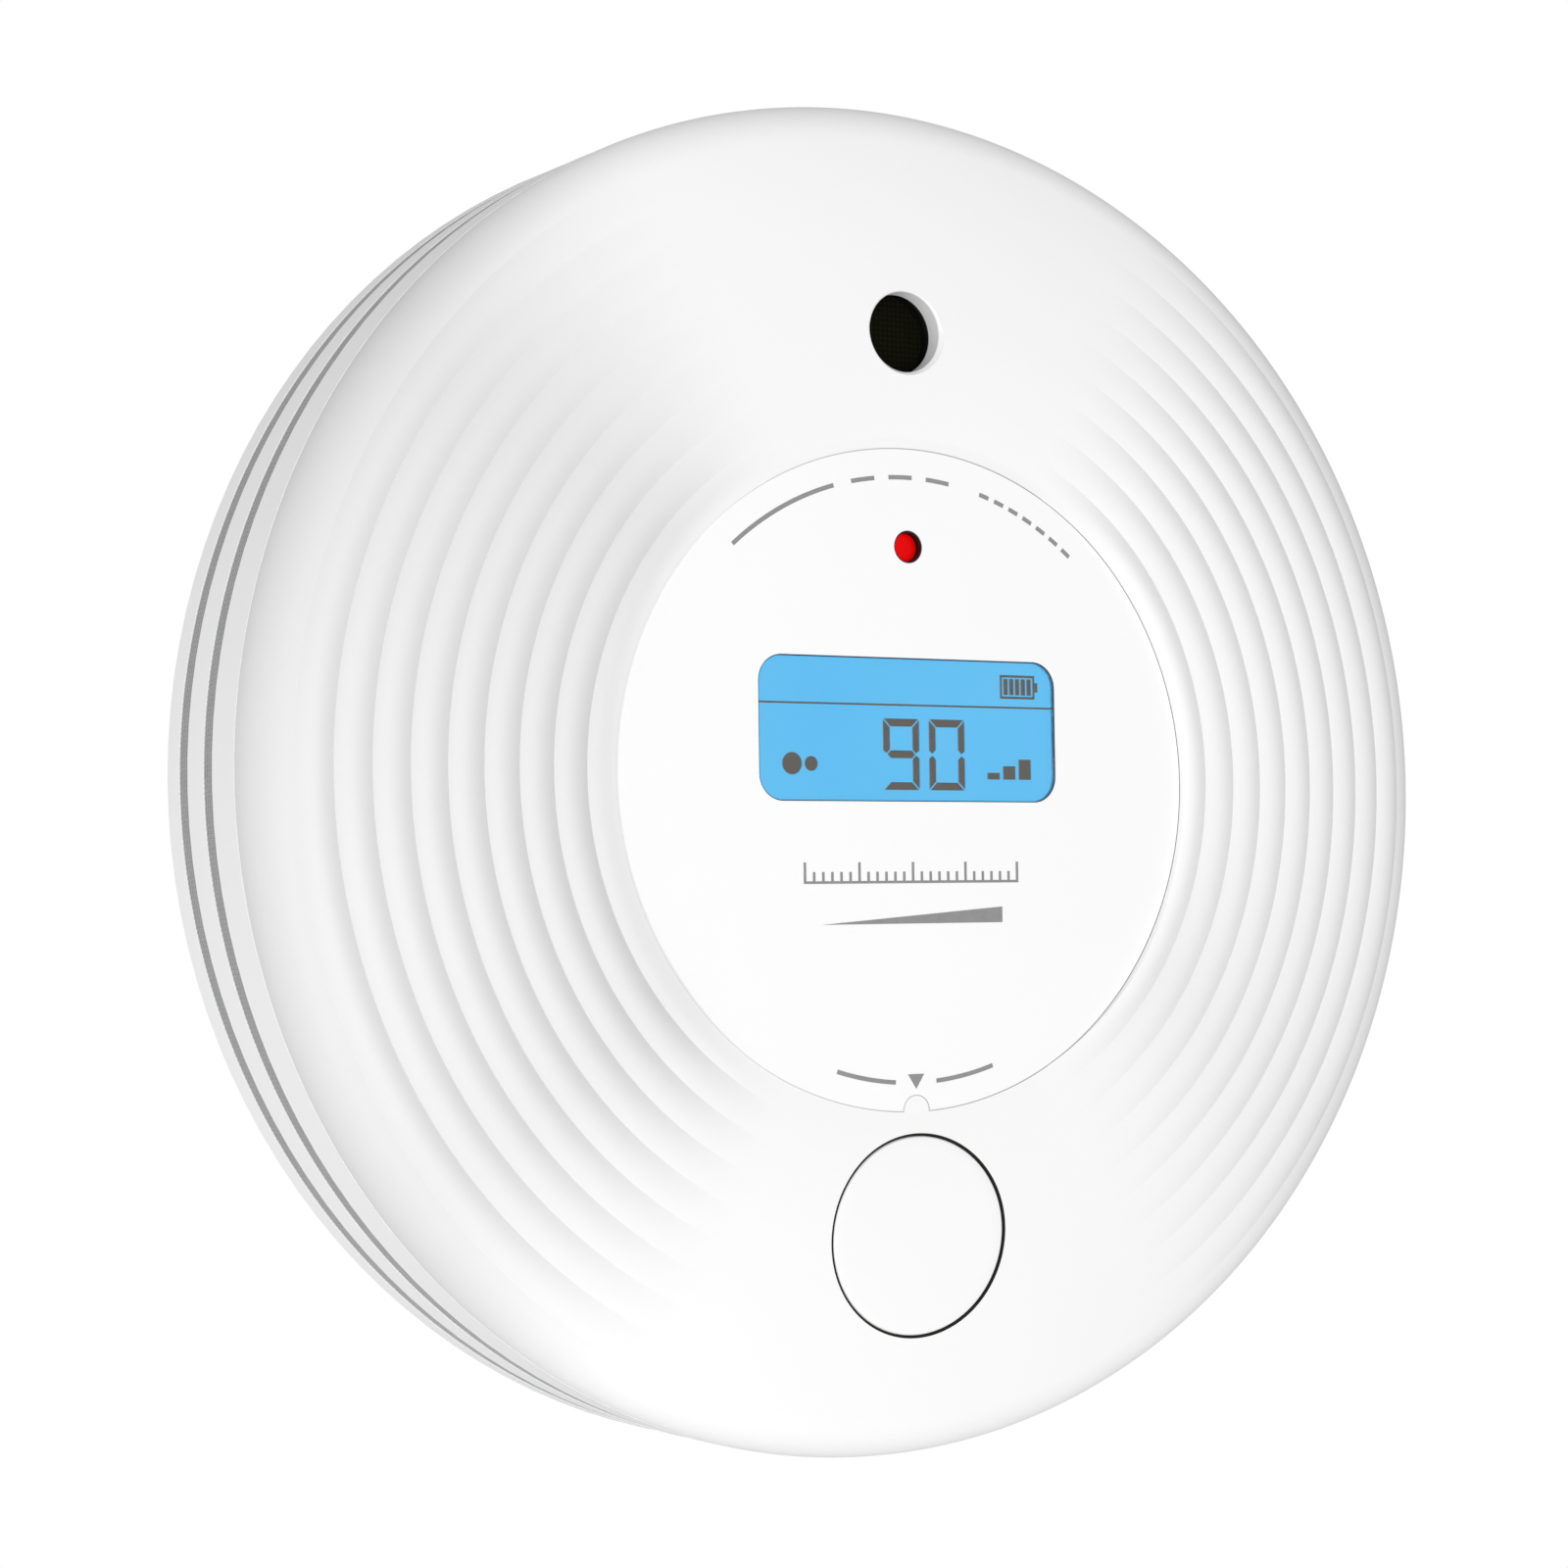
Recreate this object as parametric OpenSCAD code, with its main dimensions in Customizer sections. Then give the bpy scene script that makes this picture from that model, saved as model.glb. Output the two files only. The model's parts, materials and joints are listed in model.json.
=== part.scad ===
// Combined smoke and carbon monoxide alarm on a twist-off wall bracket.
// Every piece is drawn face up, as it lies on a bench: x to the right, y up the
// wall and z out into the room. on_wall() then turns it to stand on the wall,
// with +Z up, -Y into the room and the origin at the centre of the wall face.

/* [Case] */
// Radius of the case at its back edge
case_r = 65.2; // [64:0.1:67]
// Distance from the wall to the back of the case
case_back = 4; // [3.5:0.1:5]
// Height of the joint between the housings and the front cover
cover_seat = 21; // [20.8:0.1:21.4]
// Loss of radius for each millimetre of height, so that the case leaves its mould
draft = 0.0312; // [0.01:0.001:0.04]
// Inner radius of the housing rings
ring_in = 60.4; // [60:0.1:60.6]

/* [Vents] */
// Height at which the rear vent slot starts
rear_slot = 7.55; // [7.4:0.05:8]
// Height of each vent slot
slot_h = 2.25; // [1.5:0.05:2.5]
// Height of the ring between the two slots
vent_ring_h = 3.8; // [3:0.1:4]
// Spacer pads in each slot
pad_count = 12; // [6:1:24]

/* [Front face] */
// Height of the highest circle of the domed face
dome_top = 27.9; // [27.6:0.1:28.4]
// Radius of the highest circle of the domed face
dome_crest_r = 40; // [36:1:44]
// Fall of the dome for each square millimetre away from that circle
dome_fall = 0.0058; // [0.004:0.0001:0.007]
// Distance from one ripple to the next
ripple_pitch = 3.33; // [2.5:0.01:4]
// Height of a ripple over the dome
ripple_h = 0.6; // [0.2:0.05:0.9]
// Radius of the first full groove between ripples
groove_r = 34.2; // [33:0.1:35]
// Radius at which the face turns into the round edge
edge_start_r = 60.84; // [60:0.01:61]
// Radius of the round edge
edge_r = 5; // [4:0.1:5.5]

/* [Label and display] */
// Radius of the round label
label_r = 31.3; // [30:0.1:32]
// Thickness of the label
label_t = 0.5; // [0.3:0.1:0.8]
// Height of the label's front
label_top = 27.2; // [27:0.1:27.4]
// How far the label sits below the centre
label_drop = 0.46; // [0:0.01:1]
// Width of the display window
window_w = 32.9; // [28:0.1:34]
// Height of the display window
window_h = 13.6; // [12:0.1:15]
// Corner radius of the display window
window_corner = 2.5; // [1:0.1:4]
// Centre of the display window above the centre of the case
window_y = 4.2; // [3:0.1:6]
// Centre of the indicator above the centre of the case
led_y = 21.56; // [20:0.01:24]
// Radius of the hole that the indicator is seen through
led_hole_r = 1.42; // [1.2:0.01:1.6]

/* [Sounder and button] */
// Radius of the sounder hole
sound_r = 3.95; // [3:0.05:5]
// Centre of the sounder above the centre of the case
sound_y = 42.1; // [40:0.1:43]
// Radius of the test button
button_r = 9.35; // [8:0.05:9.6]
// Gap round the test button
button_gap = 0.23; // [0.2:0.01:0.5]
// Centre of the test button above the centre of the case
button_y = -43.4; // [-45:0.1:-42]
// Height of the test button's front
button_top = 27.8; // [27.6:0.05:28.4]
// Travel of the test button
button_travel = 1; // [0.6:0.1:1]

/* [Wall bracket] */
// Inner radius of the bracket ring
bracket_in = 44; // [42:0.5:45]
// Outer radius of the bracket ring
bracket_out = 56; // [54:0.5:58]
// Thickness of the bracket ring
bracket_t = 2.2; // [1.8:0.1:2.6]
// Distance between the two wall screws
screw_spacing = 100; // [96:1:102]
// Radius of a wall screw slot's round ends
screw_slot_r = 2.2; // [1.8:0.1:2.6]
// Length of a wall screw slot from end to end
screw_slot_l = 6.4; // [5:0.1:8]
// Turn from locked to free
twist = 15; // [12:1:18]

/* [Battery bay] */
// Inner half length of the bay
bay_x = 27.5; // [27.5:0.1:28]
// Lower inner wall of the bay
bay_low = -32.4; // [-32.6:0.1:-32.2]
// Upper inner wall of the bay
bay_high = -0.2; // [-0.3:0.1:0]
// Radius of a cell
cell_r = 7.1; // [7:0.05:7.15]
// Length of a cell without its nub
cell_l = 48.5; // [48:0.1:48.8]
// Half width of the battery door
door_x = 27.1; // [26.8:0.1:27.1]

/* [Inner parts] */
// Underside of the circuit board
board_low = 18.9; // [18.6:0.1:19]
// Thickness of the circuit board
board_t = 1.6; // [1:0.1:1.6]
// Radius of the circuit board
board_r = 59; // [57:0.5:59.5]
// Radius of the smoke chamber
chamber_r = 17.5; // [15:0.5:18]
// Radius of the gas sensor's can
sensor_r = 10; // [8:0.5:11]
// Radius of the horn housing
horn_r = 14; // [12:0.5:14.5]

/* [Hidden] */

$fn = 96;
eps = 0.01;                                     // overlap between solids of one piece
cut = 1;                                        // how far a cut runs past a face

vent_low = rear_slot + slot_h;                  // back face of the vent ring
vent_high = vent_low + vent_ring_h;             // front face of the vent ring
middle_low = vent_high + slot_h;                // back face of the middle housing
back_round = 0.9;                               // round on the case's back edge
plate_top = case_back + 2;                      // inner face of the rear plate
screen_sunk = 0.12;                             // depth of the insect screens under the case's side
screen_t = 0.3;
pad_out = 63.9;                                 // outer radius of the spacer pads
pad_w = 3;

edge_dz = dome_top - dome_fall * pow(edge_start_r - dome_crest_r, 2);
edge_slope = 90 - atan(2 * dome_fall * (edge_start_r - dome_crest_r));
edge_cx = edge_start_r - edge_r * cos(edge_slope);   // centre of the edge round, tangent to the dome
edge_cz = edge_dz - edge_r * sin(edge_slope);
seam = 0.15;                                    // groove at the cover's joint
ceiling = 24.9;                                 // inner face of the front cover
lip_out = 62.1;                                 // locating lip of the middle housing
lip_top = cover_seat + 1;
pocket_r = label_r + 0.06;                      // pocket that the label lies in
pocket_floor = label_top - label_t;
face_start_r = label_r + 0.9;                   // where the rippled face starts
full_ripple = 42;                               // half angle of the fully rippled sector
fading_ripple = 54;                             // half angle where the ripples end
ripple_count = 9;
ripple_steps = 6;                               // straight facets across one ripple
hair = 0.06;                                    // least depth of the smooth face under the grooves
side_lift = 0.3;                                // further rise of the rippled sectors over the smooth face
lift_run = 16;                                  // that rise dies away over this distance from the round edge
notch_r = 1.45;                                 // notch in the label's lowest point, round a boss
notch_gap = 0.07;
notch_y = -label_drop - label_r + 0.1;
cover_haunch = [[59, 24], [51.7, ceiling]];     // inner corner of the cover, bevelled for strength

board_top = board_low + board_t;
screw_x = 23.7;                                 // case screw places
screw_y = 48.5;
screw_shank_r = 1.5;
screw_head_r = 2.8;
screw_end = 23.6;
screw_sunk = 0.7;                               // depth of a screw head under the case's back
cross_w = 0.7;                                  // width of a screw head's cross recess
pillar_r = 3.3;

hook_r = 50;                                    // radius of the middle of the bayonet hooks
hook_w = 3;                                     // radial width of a hook
hook_clear = 0.4;
hook_gap = 0.3;                                 // gap between a hook's head and the rear plate
hook_head_t = 1.3;
hook_post_half = 2;                             // half angle of a hook's post
hook_reach = 10;                                // angle that a hook's head reaches to
hook_angles = [90, 210, 330];
slot_start = -3 - twist;                        // ends of the rear plate's bayonet slots
slot_end = 3;
rim_h = 3.6;                                    // height of the bracket's stiffening rim
rim_t = 1.6;

wall_t = 1.2;                                   // bay walls
bay_top = 21;                                   // inner roof of the bay
bay_roof_t = 1;
cell_z = 13.4;                                  // height of the cells' axes
cell_pitch = 15.8;
upper_cell_y = -8.3;
lower_cell_y = upper_cell_y - cell_pitch;
nub_r = 2.6;
nub_l = 1.5;
cell_neg = -24.4;                               // flat end of the upper cell
contact_x = bay_x - 0.2;                        // outer face of a contact plate
contact_t = 0.4;
contact_w = 12;
contact_spring_r = 4.6;
contact_wire_r = 0.35;
hinge_y = 2;                                    // axis of the door's hinge
hinge_z = case_back + 1.6;
barrel_r = 1.6;
barrel_x = 24.5;
pin_r = 1;
pin_clear = 0.05;
pin_x = 26.9;
hinge_pocket_x = 25;
hinge_pocket_top = 7.6;
hinge_pocket_y = 4;
door_t = 1.6;
door_low = -31;
door_gap = 0.4;
door_shoulder = -1.4;                           // top of the door's corners, clear of the hinge ears
door_ledge_x = 8;
grip_w = 12;                                    // grooves for a fingertip in the door

chamber_x = -32;
chamber_y = 25;
chamber_floor = 6.9;
chamber_split = 17.3;                           // joint of the chamber's cover with its base
chamber_wall = 1.5;
chamber_in = chamber_r - chamber_wall;
mesh_top = 14.9;
slit_count = 24;
slit_w = 1.6;
slit_low = 9.1;
slit_high = 14.6;
chip_x = -33;
chip_y = 15;
chip_w = 10;
chip_t = 1.2;
sensor_x = 32;
sensor_y = 24;
sensor_floor = 7;
sensor_vent_r = 0.6;
sensor_vent_place = 4;                          // vents and pins: distance from the can's centre
pin_place = 5.5;
opto_r = 2.5;                                   // round body of the emitter and the photodiode
opto_l = 3.4;                                   // its straight part
opto_z = 12;
lead_w = 0.5;
lead_pitch = 2.54;
opto_distance = 10.5;                           // from the chamber's centre
emitter_angle = 20;
diode_angle = 155;

glass_top = 26.3;
glass_low = 24.2;
backlight_low = 22.2;
backlight_w = 36;
backlight_h = 16.8;
foot_w = 1.5;                                   // feet of the backlight on the board
connector_w = 28;
connector_t = 1.6;
lens_top = label_top - label_t - 0.02;
pipe_low = board_top + 1.4;                     // light guide over the indicator's LED
pipe_top = label_top - 0.7;
pipe_foot_r = 2.2;
led_w = 3.2;
led_h = 2.8;
led_t = 1.3;
opening_gap = 0.4;                              // cover's opening round the window
switch_w = 6;
switch_top = board_top + 1.6;
horn_top = 24;
horn_wall = 1;
horn_step = 1.2;                                // step that the sounding disc is glued to
ceramic_r = 8.5;                                // ceramic layer on the sounding disc
sound_bevel = 0.35;
throat_r = 6.9;                                 // recess behind the sounder hole, for the gasket
throat_top = 25.3;
piezo_z = 22;
coil_x = 14;
coil_y = 17;
coil_flange_r = 5;
coil_flange_t = 1.2;
coil_h = 8;
capacitor_r = 4;
capacitor_h = 9.5;
capacitor_places = [[2, 29], [13, 33], [-2, 16]];
spring_r = 5.5;                                 // test button's spring
spring_wire_r = 0.3;
spring_low = board_top + spring_wire_r;
button_under = switch_top + 0.3 + button_travel; // stops just short of the switch's body
button_pocket_top = 25.7;
button_pocket_r = 7.8;
button_sunk = 0.03;                              // top of the cap under the face round it
stem_r = 3;                                     // stem that meets the switch's plunger
spring_high = button_pocket_top - spring_wire_r;
flange_r = 10.7;
flange_top = ceiling - 0.3;
plunger_r = 1.75;
plunger_top = switch_top + 0.5;
plunger_low = switch_top - 0.7;

white = [0.96, 0.96, 0.96];
grey_mesh = [0.6, 0.6, 0.61];
black = [0.06, 0.06, 0.06];
steel = [0.75, 0.75, 0.77];
brass = [0.78, 0.62, 0.3];
board_green = [0.1, 0.4, 0.22];
display_blue = [0.39, 0.76, 0.96];
lamp_red = [0.86, 0, 0.01];

// Radius of the case's side at height z
function side_r(z) = case_r - draft * (z - case_back);

// Height of the smooth domed face at radius r
function dome_z(r) = dome_top - dome_fall * pow(r - dome_crest_r, 2);

// How far the smooth face lies under the foot of the ripples at radius r
function sink(r) =
    let (part = min(1, (edge_start_r - r) / lift_run))
    hair + side_lift * part * part * (3 - 2 * part);

// Height of the smooth face above and below the label
function smooth_z(r) = dome_z(r) - sink(r);

// Height of a ripple's round back at radius r: 0 in each groove, 1 on each crest
function ripple(r) =
    let (turns = (r - groove_r) / ripple_pitch, part = turns - floor(turns))
    1 - pow(2 * part - 1, 2);

// Face of the front cover from the label to the round edge, with its share of the ripples.
// A lower share also lies deeper, so that no two solids touch along a groove.
function face_points(share) = [
    for (i = [0 : ripple_count * ripple_steps - 1])
        let (r = groove_r - ripple_pitch + i * ripple_pitch / ripple_steps)
        if (r > face_start_r) [r, dome_z(r) + share * ripple_h * ripple(r) - sink(r) * (1 - share)]
];

// Round front edge of the case, from the face down to the cover's joint
function edge_points() = [
    for (a = [edge_slope : -edge_slope / 8 : 6]) [edge_cx + edge_r * cos(a), edge_cz + edge_r * sin(a)]
];

// One ring of points round a wire, square to the wire's way, for a coil about z
function wire_ring(r, wire_r, turn, z, sides) = [
    for (s = [0 : sides - 1])
        let (a = 360 * s / sides, out = r + wire_r * cos(a))
        [out * cos(turn), out * sin(turn), z + wire_r * sin(a)]
];

module on_wall() {
    rotate([90, 0, 0]) children();
}

// Ring or disc between two heights
module ring(outer, inner, low, high) {
    translate([0, 0, low])
        difference() {
            cylinder(r = outer, h = high - low);
            if (inner > 0) translate([0, 0, -cut]) cylinder(r = inner, h = high - low + 2 * cut);
        }
}

// Sector of a ring about z, from one angle to another
module arc_block(outer, inner, low, high, from, to) {
    rotate([0, 0, from])
        rotate_extrude(angle = to - from)
            translate([inner, low]) square([outer - inner, high - low]);
}

// Flat rectangle with round corners
module round_rect(w, h, r) {
    square([w - 2 * r, h], center = true);
    square([w, h - 2 * r], center = true);
    for (x = [-1, 1], y = [-1, 1])
        translate([x * (w / 2 - r), y * (h / 2 - r)]) circle(r = r, $fn = 48);
}

// Wire wound about z from one height to another, its radius going from r1 to r2
module coil(r1, r2, wire_r, low, high, turns, steps, sides) {
    count = turns * steps;
    points = [for (i = [0 : count]) each wire_ring(r1 + (r2 - r1) * i / count, wire_r,
                                                   360 * i / steps, low + (high - low) * i / count, sides)];
    walls = [for (i = [0 : count - 1], s = [0 : sides - 1])
        let (a = i * sides + s, b = i * sides + (s + 1) % sides)
        [a, b, b + sides, a + sides]];
    first = [for (s = [sides - 1 : -1 : 0]) s];
    last = [for (s = [0 : sides - 1]) count * sides + s];
    polyhedron(points = points, faces = concat(walls, [first, last]), convexity = 6);
}

module at_screws() {
    for (x = [-screw_x, screw_x], y = [-screw_y, screw_y]) translate([x, y, 0]) children();
}

// ---- Wall bracket ----

module mounting_bracket() {
    color(white) on_wall() {
        difference() {
            union() {
                ring(bracket_out, bracket_in, 0, bracket_t);
                ring(bracket_out, bracket_out - rim_t, bracket_t - eps, rim_h);
            }
            for (side = [-1, 1])
                translate([side * screw_spacing / 2, 0, -cut])
                    linear_extrude(bracket_t + 2 * cut) {
                        square([screw_slot_l - 2 * screw_slot_r, 2 * screw_slot_r], center = true);
                        for (x = [-1, 1])
                            translate([x * (screw_slot_l / 2 - screw_slot_r), 0]) circle(r = screw_slot_r);
                    }
        }
        for (a = hook_angles) bayonet_hook(a);
    }
}

// Post through the rear plate, with a head that reaches over it
module bayonet_hook(angle) {
    head_low = plate_top + hook_gap;
    inner = hook_r - hook_w / 2;
    outer = hook_r + hook_w / 2;
    head_high = head_low + hook_head_t;
    arc_block(outer, inner, bracket_t - eps, head_high, angle - hook_post_half, angle + hook_post_half);
    arc_block(outer, inner, head_low, head_high, angle, angle + hook_reach);
}

// ---- Housings ----

module rear_housing() {
    color(white) on_wall() {
        difference() {
            union() {
                rear_shell();
                bay_walls();
                at_screws() ring(pillar_r, 0, plate_top - eps, board_low);
            }
            bay_space();
            for (a = hook_angles)
                arc_block(hook_r + hook_w / 2 + hook_clear, hook_r - hook_w / 2 - hook_clear,
                          case_back - cut, plate_top + cut, a + slot_start, a + slot_end);
            at_screws() {
                ring(screw_shank_r + 0.25, 0, case_back - cut, board_low + cut);
                ring(screw_head_r + 0.25, 0, case_back - cut, plate_top + 0.5);
            }
            door_opening();
            for (side = [-1, 1])
                translate([side * (hinge_pocket_x - eps), hinge_y, hinge_z])
                    rotate([0, side * 90, 0])
                        cylinder(r = pin_r + pin_clear, h = pin_x - hinge_pocket_x + 0.3);
        }
        translate([-door_ledge_x, bay_low - eps, hinge_z + 0.3])
            cube([2 * door_ledge_x, 2, 1]);
    }
}

// Plate with its rim, round at the back edge
module rear_shell() {
    rotate_extrude() {
        polygon([[0, case_back], [side_r(case_back) - back_round, case_back],
                 for (a = [-60 : 30 : 0])
                     [side_r(case_back) - back_round * (1 - cos(a)), case_back + back_round * (1 + sin(a))],
                 [side_r(rear_slot), rear_slot], [ring_in, rear_slot], [ring_in, plate_top], [0, plate_top]]);
    }
}

module bay_walls() {
    translate([-bay_x - wall_t, bay_low - wall_t, plate_top - eps])
        cube([2 * (bay_x + wall_t), bay_high - bay_low + 2 * wall_t, bay_top + bay_roof_t - plate_top]);
    translate([-bay_x - wall_t, bay_high, plate_top - eps])
        cube([2 * (bay_x + wall_t), hinge_pocket_y - bay_high + wall_t,
              hinge_pocket_top + wall_t - plate_top]);
}

module bay_space() {
    translate([-bay_x, bay_low, plate_top - cut])
        cube([2 * bay_x, bay_high - bay_low, bay_top - plate_top + cut]);
}

// Way through the plate for the door, with a pocket for its hinge barrel
module door_opening() {
    translate([-bay_x, door_low - door_gap, case_back - cut])
        cube([2 * bay_x, bay_high - door_low + door_gap, plate_top - case_back + cut + eps]);
    translate([-hinge_pocket_x, bay_high - eps, case_back - cut])
        cube([2 * hinge_pocket_x, hinge_pocket_y - bay_high, hinge_pocket_top - case_back + cut]);
    translate([-hinge_pocket_x, bay_high - wall_t, plate_top - cut])
        cube([2 * hinge_pocket_x, 2 * wall_t, hinge_pocket_top - plate_top + cut]);
}

module vent_ring() {
    color(white) on_wall() {
        rotate_extrude()
            polygon([[ring_in, vent_low], [side_r(vent_low), vent_low], [side_r(vent_high), vent_high],
                     [ring_in, vent_high]]);
        for (i = [0 : pad_count - 1])
            rotate([0, 0, (i + 0.5) * 360 / pad_count]) {
                translate([ring_in + 0.2, -pad_w / 2, rear_slot])
                    cube([pad_out - ring_in - 0.2, pad_w, slot_h + eps]);
                translate([ring_in + 0.2, -pad_w / 2, vent_high - eps])
                    cube([pad_out - ring_in - 0.2, pad_w, slot_h + eps]);
            }
    }
}

module rear_insect_screen() {
    color(grey_mesh) on_wall() ring(side_r(vent_low) - screen_sunk, side_r(vent_low) - screen_sunk - screen_t,
                                      rear_slot, vent_low);
}

module front_insect_screen() {
    color(grey_mesh) on_wall() ring(side_r(middle_low) - screen_sunk,
                                      side_r(middle_low) - screen_sunk - screen_t, vent_high, middle_low);
}

module middle_housing() {
    color(white) on_wall()
        rotate_extrude()
            polygon([[ring_in, middle_low], [side_r(middle_low), middle_low],
                     [side_r(cover_seat), cover_seat],
                     [lip_out, cover_seat], [lip_out, lip_top], [ring_in, lip_top]]);
}

// ---- Front cover ----

module front_cover() {
    color(white) on_wall() {
        difference() {
            union() {
                cover_shell();
                at_screws() ring(pillar_r, 0, board_top, ceiling);
            }
            difference() {
                translate([0, -label_drop, pocket_floor]) cylinder(r = pocket_r, h = dome_top);
                translate([0, notch_y, pocket_floor - cut])
                    cylinder(r = notch_r - notch_gap, h = label_t + cut);
            }
            translate([0, window_y, ceiling - cut])
                linear_extrude(label_top)
                    round_rect(window_w + 2 * opening_gap, window_h + 2 * opening_gap,
                               window_corner + opening_gap);
            translate([0, led_y, ceiling - cut]) cylinder(r = led_hole_r + 0.35, h = label_top);
            translate([0, sound_y, ceiling - cut]) cylinder(r = sound_r, h = dome_top);
            translate([0, sound_y, smooth_z(sound_y) - sound_bevel])
                cylinder(r1 = sound_r, r2 = sound_r + 1, h = 1);
            translate([0, sound_y, ceiling - cut]) cylinder(r = throat_r, h = throat_top - ceiling + cut);
            translate([0, button_y, ceiling - cut]) cylinder(r = button_r + button_gap, h = dome_top);
            at_screws() ring(screw_shank_r - 0.25, 0, board_top - cut, screw_end + 0.4);
        }
    }
}

// Shell of the cover: rippled at the left and right, smooth at the top and bottom
module cover_shell() {
    rotate_extrude()
        polygon(concat([[0, ceiling], [0, smooth_z(face_start_r)], [face_start_r, smooth_z(face_start_r)]],
                       face_points(0), edge_points(),
                       [[side_r(cover_seat) - seam, cover_seat + seam],
                        [side_r(cover_seat) - seam, cover_seat], [lip_out + 0.2, cover_seat],
                        [lip_out + 0.2, lip_top]], cover_haunch));
    for (side = [0, 180]) rotate([0, 0, side]) {
        ripple_sector(0.5, fading_ripple);
        ripple_sector(1, full_ripple);
    }
}

// Ripples on both sides of the +x axis, up to an angle, standing on the smooth shell
module ripple_sector(share, half_angle) {
    rotate([0, 0, -half_angle])
        rotate_extrude(angle = 2 * half_angle)
            polygon(concat([[face_start_r, ceiling + 1]], face_points(share),
                           [[edge_start_r - 0.1, dome_z(edge_start_r) - 0.2],
                            [edge_start_r - 0.1, ceiling]]));
}

module case_screws() {
    color(steel) on_wall()
        at_screws() difference() {
            union() {
                ring(screw_head_r, 0, case_back + screw_sunk, plate_top + 0.5);
                ring(screw_shank_r - 0.25, 0, plate_top, screw_end);
            }
            for (turn = [0, 90])
                rotate([0, 0, turn])
                    translate([-screw_shank_r, -cross_w / 2, case_back])
                        cube([2 * screw_shank_r, cross_w, screw_sunk + 1]);
        }
}

// ---- Label and display ----

module label_disc() {
    color(white) on_wall()
        translate([0, 0, pocket_floor]) linear_extrude(label_t) difference() {
            translate([0, -label_drop]) circle(r = label_r, $fn = 180);
            translate([0, window_y]) round_rect(window_w, window_h, window_corner);
            translate([0, led_y]) circle(r = led_hole_r + 0.14);
            translate([0, notch_y]) circle(r = notch_r);
        }
}

module display_window() {
    color([0.9, 0.95, 1, 0.35]) on_wall()
        translate([0, window_y, glass_top])
            linear_extrude(lens_top - glass_top)
                round_rect(window_w + opening_gap, window_h + opening_gap, window_corner + opening_gap / 2);
}

module lcd_glass() {
    color(display_blue) on_wall()
        translate([0, window_y, glass_low])
            linear_extrude(glass_top - glass_low)
                round_rect(window_w + opening_gap, window_h + opening_gap, window_corner + opening_gap / 2);
}

module lcd_backlight() {
    color(white) on_wall() {
        translate([-backlight_w / 2, window_y - backlight_h / 2, backlight_low])
            cube([backlight_w, backlight_h, glass_low - backlight_low]);
        for (side = [-1, 1])
            translate([side * (backlight_w / 2 - foot_w) - foot_w / 2, window_y + 4, board_top])
                cube([foot_w, 2 * foot_w, backlight_low - board_top + eps]);
    }
}

module lcd_connector() {
    color(black) on_wall()
        translate([-connector_w / 2, window_y + 5, board_top])
            cube([connector_w, connector_t, backlight_low - board_top]);
}

module light_pipe() {
    color(lamp_red) on_wall() {
        translate([0, led_y, pipe_low]) cylinder(r = led_hole_r - 0.08, h = pipe_top - pipe_low);
        translate([0, led_y, pipe_low]) cylinder(r = pipe_foot_r, h = 1);
    }
}

module led_sleeve() {
    color(black) on_wall()
        translate([0, led_y, 0]) ring(led_hole_r + 0.12, led_hole_r, pipe_low + 1.2, label_top - 0.04);
}

module status_led() {
    color(white) on_wall()
        translate([-led_w / 2, led_y - led_h / 2, board_top]) cube([led_w, led_h, led_t]);
}

// ---- Test button ----

module test_button() {
    color(white) on_wall()
        intersection() {
            translate([0, button_y, 0])
                rotate_extrude()
                    polygon([[0, button_under], [stem_r, button_under], [stem_r, button_pocket_top],
                             [button_pocket_r, button_pocket_top], [button_pocket_r, button_under],
                             [flange_r, button_under], [flange_r, flange_top], [button_r, flange_top],
                             [button_r, button_top], [0, button_top]]);
            // the cap's top follows the smooth face round it
            rotate_extrude()
                polygon([[0, 0], [0, smooth_z(face_start_r)],
                         for (r = [face_start_r : 2 : edge_start_r]) [r, smooth_z(r) - button_sunk],
                         [edge_start_r, 0]]);
        }
}

module button_spring() {
    color(steel) on_wall()
        translate([0, button_y, 0])
            coil(spring_r, spring_r, spring_wire_r, spring_low, spring_high, 5, 20, 8);
}

module tact_switch() {
    color(black) on_wall()
        translate([0, button_y, 0]) difference() {
            translate([-switch_w / 2, -switch_w / 2, board_top])
                cube([switch_w, switch_w, switch_top - board_top]);
            translate([0, 0, plunger_low - 0.35]) cylinder(r = plunger_r + 0.1, h = switch_top);
        }
}

module switch_plunger() {
    color(steel) on_wall()
        translate([0, button_y, plunger_low]) cylinder(r = plunger_r, h = plunger_top - plunger_low);
}

// ---- Board and sensors ----

module main_board() {
    color(board_green) on_wall()
        difference() {
            ring(board_r, 0, board_low, board_top);
            translate([-bay_x - 2 * wall_t, bay_low - 2 * wall_t, board_low - cut])
                cube([2 * (bay_x + 2 * wall_t), bay_high - bay_low + 4 * wall_t, board_t + 2 * cut]);
            at_screws() ring(screw_shank_r + 0.25, 0, board_low - cut, board_top + cut);
        }
}

module controller_chip() {
    color(black) on_wall()
        translate([chip_x, chip_y, board_top]) cube([chip_w, chip_w, chip_t]);
}

module smoke_chamber_base() {
    color(black) on_wall()
        translate([chamber_x, chamber_y, 0]) {
            ring(chamber_r, 0, chamber_split, board_low);
            ring(chamber_in - 0.1, chamber_in - 1.3, mesh_top, chamber_split + eps);
        }
}

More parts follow.
